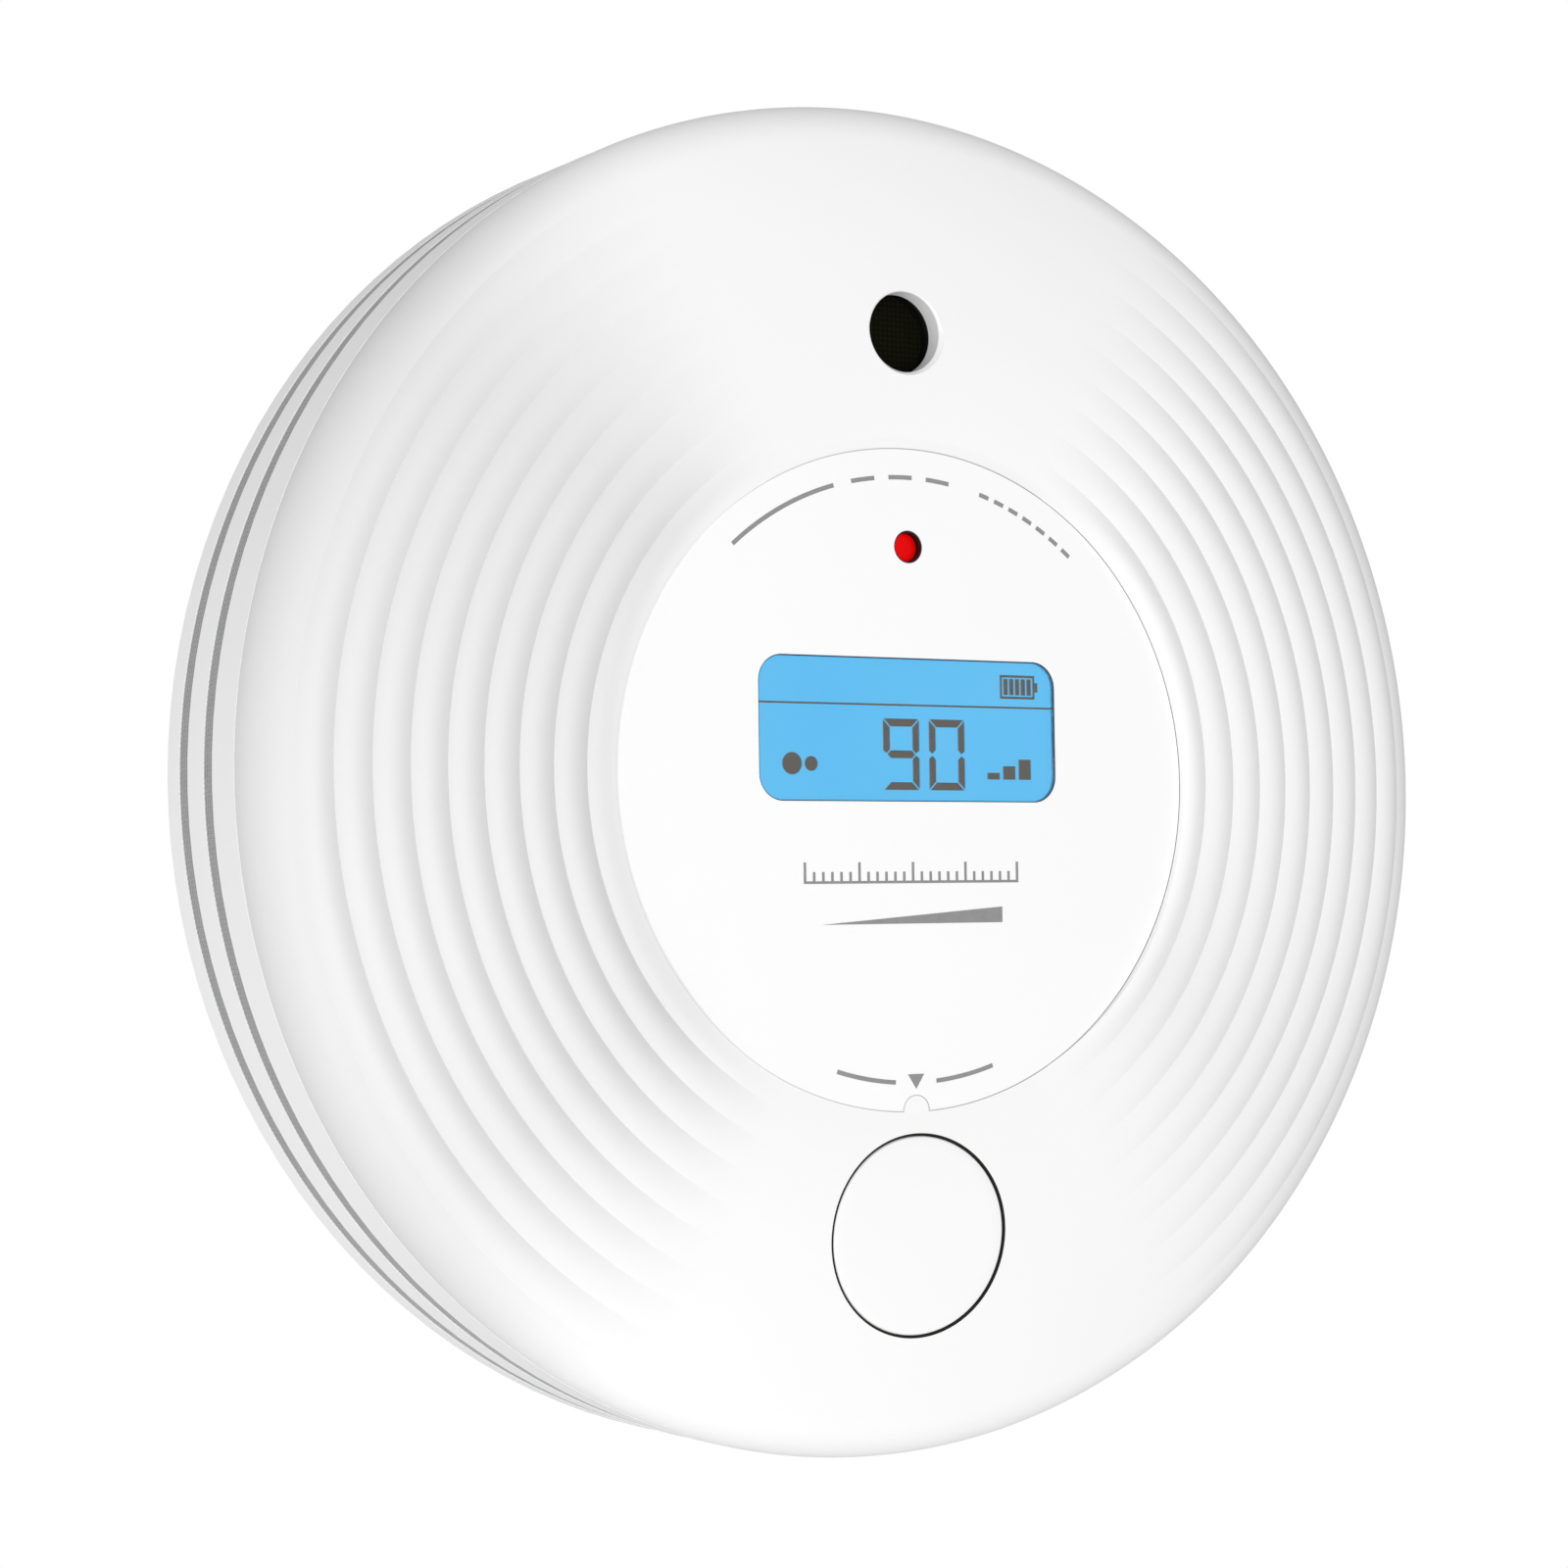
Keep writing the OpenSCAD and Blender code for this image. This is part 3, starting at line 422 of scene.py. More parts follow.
print("front cover")
cover = {
    "crestOut": 27.9,        # highest circle of the dome, out from the wall
    "crestRadius": 40.0,
    "domeFall": 0.0058,      # per mm, squared
    "grooveRadius": 34.2,    # first full groove
    "pitch": 3.33,
    "rippleHeight": 0.58,
    "ripples": 9,            # how many are cut in steps, out from the label
    "fullAngle": 34.0,       # degrees off the horizontal where the ripples start to fade
    "fadeAngle": 66.0,       # and where they are gone
    "faceRadius": 60.84,     # the face turns into the round edge here
    "edgeRadius": 5.0,
    "flatRadius": 32.0,      # inside this the dome stays level, beside the label
    "sideLift": 0.36,        # the rippled sectors rise this much over the smooth face
    "liftRun": 16.0,         # and that dies away towards the round edge
    "seam": 0.15,
    "stepsAround": 360,
    "stepsPerRipple": 14,
    "pocketRadius": labelRadius + 0.06,
    "pocketFloor": labelFront - 0.5,
    "ceiling": 24.9,
    "cutFrom": 20.0,
    "lip": (62.3, 1.0),      # radius and height of the step over the middle housing's lip
    "haunch": ((59.0, 24.0), (51.7, 24.9)),
}
labelNotch = {"boss": 1.38, "above": 0.1, "slit": (1.37, 1.46)}      # "above" is from the label's foot
holes = {
    "button": 9.58,
    "throat": 6.9,           # recess for the sounder's gasket
    "throatTop": 25.3,
    "sound": 3.85,
    "soundEdge": ((3.9, 0.34), (4.17, 0.04)),      # its bevel: radii, and depths under the face
    "soundDeep": 0.42,
    "soundTop": 4.3,
    "window": (33.7, 14.4, 2.9),
    "lamp": 1.77,
}


def domeOut(radius, c=cover):      # the smooth face above and below the label
    part = min(1, max(0, (c["faceRadius"] - radius) / c["liftRun"]))
    dome = c["crestOut"] - c["domeFall"] * (max(radius, c["flatRadius"]) - c["crestRadius"]) ** 2
    return dome - c["sideLift"] * part * part * (3 - 2 * part)


def coverProfile(c):
    slope = math.degrees(math.atan(2 * c["domeFall"] * (c["faceRadius"] - c["crestRadius"])))
    top = 90 - slope
    cx = c["faceRadius"] - c["edgeRadius"] * math.cos(math.radians(top))
    cy = domeOut(c["faceRadius"]) - c["edgeRadius"] * math.sin(math.radians(top))
    low = math.degrees(math.asin((coverSeat + c["seam"] - cy) / c["edgeRadius"]))
    edge = arcPoints(cx, cy, c["edgeRadius"], top, low, 14)
    face = [0.0, 16.0, c["grooveRadius"] - c["pitch"] - 0.3]
    steps = c["stepsPerRipple"]
    face += [c["grooveRadius"] + c["pitch"] * (k / steps - 1) for k in range(c["ripples"] * steps)]
    inner = [(edge[-1][0] - c["seam"], coverSeat + c["seam"]), (edge[-1][0] - c["seam"], coverSeat),
             (c["lip"][0], coverSeat), (c["lip"][0], coverSeat + c["lip"][1])]
    inner += [*c["haunch"], (0.0, c["ceiling"])]
    return face, edge, inner, (cx, cy)


def rippleTree(c):
    # raises a flat disc's points to the dome and its ripples, by each point's radius and angle
    tree = bpy.data.node_groups.new("rippledDome", "GeometryNodeTree")
    names = ["Crest Out", "Crest Radius", "Dome Fall", "Flat Radius", "Groove Radius", "Pitch",
             "Ripple Height", "Full Angle", "Fade Angle", "Side Lift", "Lift Run", "Face Radius"]
    values = [c["crestOut"] * mm, c["crestRadius"] * mm, c["domeFall"] / mm, c["flatRadius"] * mm,
              c["grooveRadius"] * mm, c["pitch"] * mm, c["rippleHeight"] * mm, math.radians(c["fullAngle"]),
              math.radians(c["fadeAngle"]), c["sideLift"] * mm, c["liftRun"] * mm, c["faceRadius"] * mm]
    tree.interface.new_socket("Geometry", in_out="INPUT", socket_type="NodeSocketGeometry")
    idents = {n: groupInput(tree, n, "NodeSocketFloat") for n in names}
    idents["Finish"] = groupInput(tree, "Finish", "NodeSocketMaterial")
    tree.interface.new_socket("Geometry", in_out="OUTPUT", socket_type="NodeSocketGeometry")
    given = addNode(tree, "NodeGroupInput").outputs
    where = addNode(tree, "GeometryNodeInputPosition").outputs[0]
    spot = addNode(tree, "ShaderNodeSeparateXYZ", {0: where}).outputs
    flat = addNode(tree, "ShaderNodeCombineXYZ", {"X": spot["X"], "Z": spot["Z"]})
    radius = addNode(tree, "ShaderNodeVectorMath", {0: flat.outputs[0]}, operation="LENGTH").outputs["Value"]
    sideways = addNode(tree, "ShaderNodeMath", {0: spot["X"]}, operation="ABSOLUTE").outputs[0]
    upwards = addNode(tree, "ShaderNodeMath", {0: spot["Z"]}, operation="ABSOLUTE").outputs[0]
    angle = addNode(tree, "ShaderNodeMath", {0: upwards, 1: sideways}, operation="ARCTAN2").outputs[0]
    share = addNode(tree, "ShaderNodeMapRange", {"Value": angle, "From Min": given["Full Angle"],
                                                 "From Max": given["Fade Angle"],
                                                 "To Min": 1.0, "To Max": 0.0},
                    interpolation_type="SMOOTHSTEP").outputs[0]
    past = addNode(tree, "ShaderNodeMath", {0: radius, 1: given["Groove Radius"]},
                   operation="SUBTRACT").outputs[0]
    turns = addNode(tree, "ShaderNodeMath", {0: past, 1: given["Pitch"]}, operation="DIVIDE").outputs[0]
    part = addNode(tree, "ShaderNodeMath", {0: turns}, operation="FRACT").outputs[0]
    across = addNode(tree, "ShaderNodeMath", {0: part, 1: 2.0, 2: -1.0}, operation="MULTIPLY_ADD").outputs[0]
    squared = addNode(tree, "ShaderNodeMath", {0: across, 1: across}, operation="MULTIPLY").outputs[0]
    crest = addNode(tree, "ShaderNodeMath", {0: 1.0, 1: squared}, operation="SUBTRACT").outputs[0]
    ripple = addNode(tree, "ShaderNodeMath", {0: crest, 1: share}, operation="MULTIPLY").outputs[0]
    lift = addNode(tree, "ShaderNodeMath", {0: ripple, 1: given["Ripple Height"]},
                   operation="MULTIPLY").outputs[0]
    outer = addNode(tree, "ShaderNodeMath", {0: radius, 1: given["Flat Radius"]},
                    operation="MAXIMUM").outputs[0]
    away = addNode(tree, "ShaderNodeMath", {0: outer, 1: given["Crest Radius"]},
                   operation="SUBTRACT").outputs[0]
    away2 = addNode(tree, "ShaderNodeMath", {0: away, 1: away}, operation="MULTIPLY").outputs[0]
    fall = addNode(tree, "ShaderNodeMath", {0: away2, 1: given["Dome Fall"]}, operation="MULTIPLY").outputs[0]
    dome = addNode(tree, "ShaderNodeMath", {0: given["Crest Out"], 1: fall}, operation="SUBTRACT").outputs[0]
    start = addNode(tree, "ShaderNodeMath", {0: given["Face Radius"], 1: given["Lift Run"]},
                    operation="SUBTRACT").outputs[0]
    inside = addNode(tree, "ShaderNodeMapRange", {"Value": radius, "From Min": start, "To Min": 1.0,
                                                  "To Max": 0.0, "From Max": given["Face Radius"]},
                     interpolation_type="SMOOTHSTEP").outputs[0]
    plain = addNode(tree, "ShaderNodeMath", {0: 1.0, 1: share}, operation="SUBTRACT").outputs[0]
    drop = addNode(tree, "ShaderNodeMath", {0: plain, 1: inside}, operation="MULTIPLY").outputs[0]
    sunk = addNode(tree, "ShaderNodeMath", {0: drop, 1: given["Side Lift"]}, operation="MULTIPLY").outputs[0]
    level = addNode(tree, "ShaderNodeMath", {0: dome, 1: sunk}, operation="SUBTRACT").outputs[0]
    out = addNode(tree, "ShaderNodeMath", {0: level, 1: lift}, operation="ADD").outputs[0]
    back = addNode(tree, "ShaderNodeMath", {0: out, 1: -1.0}, operation="MULTIPLY").outputs[0]
    target = addNode(tree, "ShaderNodeCombineXYZ", {"X": spot["X"], "Y": back, "Z": spot["Z"]})
    isFace = addNode(tree, "GeometryNodeInputNamedAttribute", {"Name": "isFace"}, data_type="BOOLEAN")
    raised = addNode(tree, "GeometryNodeSetPosition", {"Geometry": given["Geometry"],
                                                       "Selection": isFace.outputs["Attribute"],
                                                       "Position": target.outputs[0]})
    real = addNode(tree, "GeometryNodeRealizeInstances", {"Geometry": raised.outputs[0]})
    dressed = addNode(tree, "GeometryNodeSetMaterial", {"Geometry": real.outputs[0],
                                                        "Material": given["Finish"]})
    addNode(tree, "NodeGroupOutput", {0: dressed.outputs[0]})
    return tree, idents, dict(zip(names, values))


def coverMaterial(c):
    # the same ABS, rougher and more grained on the ripples and the left shoulder; there its colour carries
    # painted shade, darker on the ripples, more so on the left, and darkest on the left's round edge and side
    material, tree, shader = newMaterial("shadedWhiteAbs", "#F2F2F3", 0.4, 1.53)
    spot = addNode(tree, "ShaderNodeTexCoord").outputs["Object"]
    axes = addNode(tree, "ShaderNodeSeparateXYZ", {0: spot}).outputs
    flat = addNode(tree, "ShaderNodeCombineXYZ", {"X": axes["X"], "Z": axes["Z"]})
    radius = addNode(tree, "ShaderNodeVectorMath", {0: flat.outputs[0]}, operation="LENGTH").outputs["Value"]
    sideways = addNode(tree, "ShaderNodeMath", {0: axes["X"]}, operation="ABSOLUTE").outputs[0]
    upwards = addNode(tree, "ShaderNodeMath", {0: axes["Z"]}, operation="ABSOLUTE").outputs[0]
    angle = addNode(tree, "ShaderNodeMath", {0: upwards, 1: sideways}, operation="ARCTAN2").outputs[0]

    def ramp(value, start, end, low=0.0, high=1.0):
        node = addNode(tree, "ShaderNodeMapRange", {"Value": value, "From Min": start, "From Max": end,
                                                    "To Min": low, "To Max": high},
                       interpolation_type="SMOOTHSTEP")
        return node.outputs[0]

    share = ramp(angle, math.radians(c["fullAngle"]), math.radians(c["fadeAngle"]), 1.0, 0.0)
    start = ramp(radius, labelRadius * mm, (labelRadius + 2) * mm)
    ripples = addNode(tree, "ShaderNodeMath", {0: share, 1: start}, operation="MULTIPLY").outputs[0]
    left = ramp(axes["X"], -30 * mm, 30 * mm, 1.0, 0.0)
    shoulder = addNode(tree, "ShaderNodeMath", {0: share, 1: left}, operation="MULTIPLY").outputs[0]

    def leftOnly(value):
        return addNode(tree, "ShaderNodeMath", {0: value, 1: shoulder}, operation="MULTIPLY").outputs[0]

    edge = leftOnly(ramp(radius, (c["faceRadius"] - 1.5) * mm, (c["faceRadius"] + 2.5) * mm))
    # mask of the rougher, grained texture, which also carries the painted shade
    shadeAndMatte = addNode(tree, "ShaderNodeMath", {0: ripples, 1: edge}, operation="MAXIMUM").outputs[0]
    drift = addNode(tree, "ShaderNodeTexNoise", {"Vector": spot, "Scale": 1 / (30 * mm), "Detail": 3.0})
    bright = addNode(tree, "ShaderNodeMix", {"Factor": drift.outputs["Fac"], "A": hexColour("#F3F3F3"),
                                             "B": hexColour("#F5F5F5")}, data_type="RGBA")
    # painted shade: the ripples' colour darker, and more so on the left, as the light falls
    shadedTone = addNode(tree, "ShaderNodeMix", {"Factor": left, "A": hexColour("#E8E8E8"),
                                               "B": hexColour("#DEDEDE")},
                       data_type="RGBA")
    colour = addNode(tree, "ShaderNodeMix", {"Factor": shadeAndMatte, "A": bright.outputs["Result"],
                                             "B": shadedTone.outputs["Result"]}, data_type="RGBA")
    # painted shade: the left's round edge and side wall darker still
    outside = leftOnly(ramp(radius, (c["faceRadius"] - 1) * mm, (c["faceRadius"] + 3) * mm))
    colour = addNode(tree, "ShaderNodeMix", {"Factor": outside, "A": colour.outputs["Result"],
                                             "B": hexColour("#D7D7D7")}, data_type="RGBA")
    tree.links.new(colour.outputs["Result"], shader.inputs["Base Color"])
    tree.links.new(ramp(shadeAndMatte, 0.0, 1.0, 0.4, 0.6), shader.inputs["Roughness"])
    grain = addNode(tree, "ShaderNodeTexNoise", {"Vector": spot, "Scale": 1 / (0.35 * mm), "Detail": 2.0})
    depth = ramp(shadeAndMatte, 0.0, 1.0, 0.002 * mm, 0.006 * mm)
    bump = addNode(tree, "ShaderNodeBump", {"Height": grain.outputs["Fac"], "Distance": depth,
                                            "Strength": 1.0})
    tree.links.new(bump.outputs["Normal"], shader.inputs["Normal"])
    return material


def cutterPiece(name, meshes):   # several closed shapes as one hidden cutter
    shape = bmesh.new()
    for mesh in meshes:
        shape.from_mesh(mesh)
        bpy.data.meshes.remove(mesh)
    joined = bpy.data.meshes.new(name)
    shape.to_mesh(joined)
    shape.free()
    cutter = bpy.data.objects.new(name, joined)
    scene.collection.objects.link(cutter)
    return cutter


def coverHeights(radius, angle, c):
    # the same rule as the tree's, for the true normals of the cut surface
    dome = c["crestOut"] - c["domeFall"] * (np.maximum(radius, c["flatRadius"]) - c["crestRadius"]) ** 2
    span = math.radians(c["fadeAngle"] - c["fullAngle"])
    fade = np.clip((angle - math.radians(c["fullAngle"])) / span, 0, 1)
    share = 1 - fade * fade * (3 - 2 * fade)
    inside = np.clip((c["faceRadius"] - radius) / c["liftRun"], 0, 1)
    sunk = c["sideLift"] * (1 - share) * inside * inside * (3 - 2 * inside)
    part = np.mod((radius - c["grooveRadius"]) / c["pitch"], 1.0)
    return dome - sunk + c["rippleHeight"] * share * (1 - (2 * part - 1) ** 2)


def trueNormals(mesh, c, edgeCentre):
    # cutting the holes leaves long thin faces, so the skin takes its normals from the rule itself
    softEdges(mesh, 25)
    loops = len(mesh.loops)
    spot = np.empty(len(mesh.vertices) * 3)
    mesh.vertices.foreach_get("co", spot)
    owner = np.empty(loops, int)
    mesh.loops.foreach_get("vertex_index", owner)
    totals, centres, facing = (np.empty(len(mesh.polygons), int), np.empty(len(mesh.polygons) * 3),
                               np.empty(len(mesh.polygons) * 3))
    mesh.polygons.foreach_get("loop_total", totals)
    mesh.polygons.foreach_get("center", centres)
    mesh.polygons.foreach_get("normal", facing)
    polygon = np.repeat(np.arange(len(totals)), totals)
    corner = spot.reshape(-1, 3)[owner] / mm
    centre = centres.reshape(-1, 3)[polygon] / mm
    facing = facing.reshape(-1, 3)[polygon]
    at = corner + (centre - corner) * 0.02      # a hair inside the face, so a groove keeps its two sides

    def heights(x, z):
        return coverHeights(np.hypot(x, z), np.arctan2(np.abs(z), np.abs(x)), c)

    step = 0.002
    slopeX = (heights(at[:, 0] + step, at[:, 2]) - heights(at[:, 0] - step, at[:, 2])) / (2 * step)
    slopeZ = (heights(at[:, 0], at[:, 2] + step) - heights(at[:, 0], at[:, 2] - step)) / (2 * step)
    face = np.stack([-slopeX, -np.ones(loops), -slopeZ], 1)
    radius = np.hypot(corner[:, 0], corner[:, 2])
    onFace = (radius < c["faceRadius"] - 1e-3) | (np.hypot(centre[:, 0], centre[:, 2]) < c["faceRadius"])
    onFace &= np.abs(-corner[:, 1] - heights(corner[:, 0], corner[:, 2])) < 0.02
    onEdge = np.abs(np.hypot(radius - edgeCentre[0], -corner[:, 1] - edgeCentre[1]) - c["edgeRadius"]) < 0.02
    edge = np.stack([corner[:, 0] / radius * (radius - edgeCentre[0]), corner[:, 1] + edgeCentre[1],
                     corner[:, 2] / radius * (radius - edgeCentre[0])], 1)
    kept = np.empty(loops * 3, np.float32)
    mesh.corner_normals.foreach_get("vector", kept)
    normals = kept.reshape(-1, 3).copy()
    for chosen, own in ((onEdge & ~onFace, edge), (onFace, face)):
        own = own / np.linalg.norm(own, axis=1)[:, None]
        alike = chosen & ((own * facing).sum(1) > 0.6)
        normals[alike] = own[alike]
    mesh.normals_split_custom_set(normals.tolist())


def labelPocket(c, high):     # a round pocket, but for a boss that fills the label's notch
    drop = nodeCentre("label_disc")[1]
    notch, away = labelNotch["boss"], labelRadius - labelNotch["above"]
    notchUp = drop - away
    radius = c["pocketRadius"]
    meet = math.degrees(math.acos((radius ** 2 + away ** 2 - notch ** 2) / (2 * radius * away)))
    outline = arcPoints(0, 0, radius, -90 + meet, 270 - meet, 300)
    first, last = (math.degrees(math.atan2(outline[k][1] - notchUp + drop, outline[k][0])) for k in (0, -1))
    outline += arcPoints(0, notchUp - drop, notch, last % 360, first, 20)[1:-1]
    return platesMesh("cut", [outline], 0, drop, c["pocketFloor"], high)


def frontCover(c):
    face, edge, inner, edgeCentre = coverProfile(c)
    profile = [(r, 0.0) for r in face] + edge + inner
    flat = turnedMesh("coverBlank", profile, 0, 0, c["stepsAround"], closed=False)
    mark = flat.attributes.new("isFace", "BOOLEAN", "POINT")
    for vertex in flat.vertices:
        mark.data[vertex.index].value = abs(vertex.co.y) < 1e-6
    blank = bpy.data.objects.new("coverBlank", flat)
    scene.collection.objects.link(blank)
    tree, idents, values = rippleTree(c)
    shaping = blank.modifiers.new("ripples", "NODES")
    shaping.node_group = tree
    for name, value in values.items():
        shaping[idents[name]] = value
    coverAbs = coverMaterial(c)
    shaping[idents["Finish"]] = coverAbs
    raised = bakedMesh(blank, "coverRaised")
    shape = bmesh.new()
    shape.from_mesh(raised)
    bmesh.ops.recalc_face_normals(shape, faces=shape.faces)
    shape.to_mesh(raised)
    shape.free()
    body = bpy.data.objects.new("coverBody", raised)
    scene.collection.objects.link(body)
    low, high = c["cutFrom"], c["crestOut"] + 3      # the cutters run well past both faces
    h = holes

    def plainHole(radius):
        return [(0, low), (radius, low), (radius, high), (0, high)]

    soundOut = domeOut(soundUp)
    soundCut = [(0, low), (h["throat"], low), (h["throat"], h["throatTop"]), (h["sound"], h["throatTop"]),
                (h["sound"], soundOut - h["soundDeep"])]
    soundCut += [(radius, soundOut - deep) for radius, deep in h["soundEdge"]]
    soundCut += [(h["soundTop"], high), (0, high)]
    cuts = [
        [labelPocket(c, high),
         turnedMesh("cut", plainHole(h["button"]), buttonX, buttonUp, 160, False),
         turnedMesh("cut", soundCut, soundX, soundUp, 128, False)],
        [platesMesh("cut", [roundRect(*h["window"])], windowX, windowUp, low, high),
         turnedMesh("cut", plainHole(h["lamp"]), lampX, lampUp, 48, False)],
    ]
    cutters = []
    for meshes in cuts:
        cutter = cutterPiece("coverCutter", meshes)
        carve = body.modifiers.new("cut", "BOOLEAN")
        carve.operation, carve.solver, carve.object = "DIFFERENCE", "EXACT", cutter
        cutters.append(cutter)
    mesh = bakedMesh(body, "frontCover")
    for cutter in cutters:
        bpy.data.objects.remove(cutter)
    trueNormals(mesh, c, edgeCentre)
    return takePiece("rippledCover", mesh, coverAbs, head, ["front_cover"])


frontCover(cover)

screwBoss = {"radius": 3.3, "pilot": 1.25, "low": 20.5, "high": 25.0, "pilotTop": 24.0, "x": 23.7, "up": 48.5}
for index, (sx, sz) in enumerate(((-1, -1), (-1, 1), (1, -1), (1, 1))):
    b = screwBoss
    outline = [(b["pilot"], b["low"]), (b["radius"], b["low"]), (b["radius"], b["high"]), (0, b["high"]),
               (0, b["pilotTop"]), (b["pilot"], b["pilotTop"])]
    boss = turnedMesh("boss", outline, sx * b["x"], sz * b["up"], 40)
    takePiece("coverBoss%d" % (index + 1), softEdges(boss), satinAbs, head)

# Insect screens: wire cloth round each vent slot

print("insect screens")
wireCloth = {"pitch": 0.45, "wire": 0.15, "proud": 0.03, "rows": 5, "reach": 0.42}


def wireTree(w):
    # upright wires set round a circle, and hoops stacked between them
    tree = bpy.data.node_groups.new("wireCloth", "GeometryNodeTree")
    kinds = {"Radius": "Float", "Height": "Float", "Wire": "Float", "Uprights": "Int", "Hoops": "Int",
             "Finish": "Material"}
    idents = {name: groupInput(tree, name, "NodeSocket" + kind) for name, kind in kinds.items()}
    tree.interface.new_socket("Geometry", in_out="OUTPUT", socket_type="NodeSocketGeometry")
    given = addNode(tree, "NodeGroupInput").outputs
    half = addNode(tree, "ShaderNodeMath", {0: given["Wire"], 1: 0.5}, operation="MULTIPLY").outputs[0]
    ring = addNode(tree, "GeometryNodeMeshCircle", {"Vertices": given["Uprights"], "Radius": given["Radius"]})
    upright = addNode(tree, "GeometryNodeMeshCylinder",
                      {"Vertices": 5, "Radius": half, "Depth": given["Height"]}, fill_type="TRIANGLE_FAN")
    wires = addNode(tree, "GeometryNodeInstanceOnPoints", {"Points": ring.outputs[0],
                                                           "Instance": upright.outputs["Mesh"]})
    circle = addNode(tree, "GeometryNodeCurvePrimitiveCircle", {"Resolution": 240, "Radius": given["Radius"]})
    section = addNode(tree, "GeometryNodeCurvePrimitiveCircle", {"Resolution": 5, "Radius": half})
    hoop = addNode(tree, "GeometryNodeCurveToMesh", {"Curve": circle.outputs[0],
                                                     "Profile Curve": section.outputs[0]})
    reach = w["reach"]
    lowest = addNode(tree, "ShaderNodeMath", {0: given["Height"], 1: -reach}, operation="MULTIPLY").outputs[0]
    topmost = addNode(tree, "ShaderNodeMath", {0: given["Height"], 1: reach}, operation="MULTIPLY").outputs[0]
    start = addNode(tree, "ShaderNodeCombineXYZ", {"Z": lowest})
    end = addNode(tree, "ShaderNodeCombineXYZ", {"Z": topmost})
    line = addNode(tree, "GeometryNodeMeshLine", {"Count": given["Hoops"], "Start Location": start.outputs[0],
                                                  "Offset": end.outputs[0]}, mode="END_POINTS")
    hoops = addNode(tree, "GeometryNodeInstanceOnPoints", {"Points": line.outputs[0],
                                                           "Instance": hoop.outputs[0]})
    both = addNode(tree, "GeometryNodeJoinGeometry")
    tree.links.new(hoops.outputs[0], both.inputs[0])
    tree.links.new(wires.outputs[0], both.inputs[0])
    turned = addNode(tree, "GeometryNodeTransform", {"Geometry": both.outputs[0],
                                                     "Rotation": (math.radians(90), 0, 0)})
    real = addNode(tree, "GeometryNodeRealizeInstances", {"Geometry": turned.outputs[0]})
    dressed = addNode(tree, "GeometryNodeSetMaterial", {"Geometry": real.outputs[0],
                                                        "Material": given["Finish"]})
    addNode(tree, "NodeGroupOutput", {0: dressed.outputs[0]})
    return tree, idents


clothTree, clothInputs = wireTree(wireCloth)
for name in ("rear_insect_screen", "front_insect_screen"):
    low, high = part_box(name)
    height = high.y - low.y
    blank = bpy.data.objects.new("clothBlank", bpy.data.meshes.new("clothBlank"))
    scene.collection.objects.link(blank)
    weaving = blank.modifiers.new("cloth", "NODES")
    weaving.node_group = clothTree
    w = wireCloth
    radius = high.x / mm + w["proud"]
    uprights = round(2 * math.pi * radius / w["pitch"])
    for key, value in (("Radius", radius * mm), ("Height", height), ("Wire", w["wire"] * mm),
                       ("Uprights", uprights), ("Hoops", w["rows"]), ("Finish", greyWire)):
        weaving[clothInputs[key]] = value
    mesh = bakedMesh(blank, name + "_wires")
    mesh.transform(Matrix.Translation((0, (low.y + high.y) / 2, 0)))
    takePiece(name.replace("insect_screen", "wire_cloth"), softEdges(mesh, 40), greyWire, head)

# Label, printing and display

print("label and display")
printing = {"top": 0.02, "stroke": 0.42, "arcRadius": 28.6, "arcHalf": 41.5, "barAngle": 25.0, "barGap": 4.0,
            "dashShare": 0.62, "pressArcs": ((252.5, 265.5), (274.5, 287.5)), "arrowHalf": 0.9,
            "arrowTop": 0.8, "arrowTip": -0.6, "scaleUp": -10.3, "scaleHalf": 11.9, "rule": 0.25, "ticks": 24,
            "tick": 0.28, "tickTall": 2.0, "tickShort": 1.1, "tallEvery": 6, "wedgeUp": -14.1,
            "wedgeHalf": 10.0, "wedgeTall": 1.5}


def arcBar(radius, thick, start, end):      # part of a thin ring about the label's centre
    count = max(2, round(abs(end - start)))
    return (arcPoints(0, 0, radius - thick / 2, start, end, count)
            + arcPoints(0, 0, radius + thick / 2, end, start, count))


def printMarks(name, outlines):
    mesh = platesMesh(name, outlines, 0, nodeCentre("label_disc")[1], labelFront,
                      labelFront + printing["top"])
    takePiece(name, mesh, greyInk, head)


def labelMarks(p):
    # plain marks without lettering: the lamp's steady, slow and fast light, a press arrow and a rising level
    marks = []
    for index, dashes in enumerate((1, 3, 7)):
        start = 90 + p["arcHalf"] - index * (p["barAngle"] + p["barGap"])
        step = p["barAngle"] / dashes
        share = 1.0 if dashes == 1 else p["dashShare"]
        for k in range(dashes):
            marks.append(arcBar(p["arcRadius"], p["stroke"], start - k * step, start - (k + share) * step))
    printMarks("lampMarks", marks)
    foot = -p["arcRadius"]
    arrow = [(-p["arrowHalf"], foot + p["arrowTop"]), (p["arrowHalf"], foot + p["arrowTop"]),
             (0, foot + p["arrowTip"])]
    arcs = [arcBar(p["arcRadius"], p["stroke"], *ends) for ends in p["pressArcs"]]
    printMarks("pressMarks", [arrow] + arcs)
    drop = nodeCentre("label_disc")[1]
    low, half = p["scaleUp"] - drop, p["scaleHalf"]
    marks = [bar(-half, low, 2 * half, p["rule"])]
    for k in range(p["ticks"] + 1):
        x = -half + (2 * half - p["tick"]) * k / p["ticks"]
        tall = p["tickShort"] if k % p["tallEvery"] else p["tickTall"]
        marks.append(bar(x, low + p["rule"], p["tick"], tall - p["rule"]))
    low, half = p["wedgeUp"] - drop, p["wedgeHalf"]
    marks.append([(-half, low), (half, low), (half, low + p["wedgeTall"])])
    printMarks("levelMarks", marks)


labelMarks(printing)
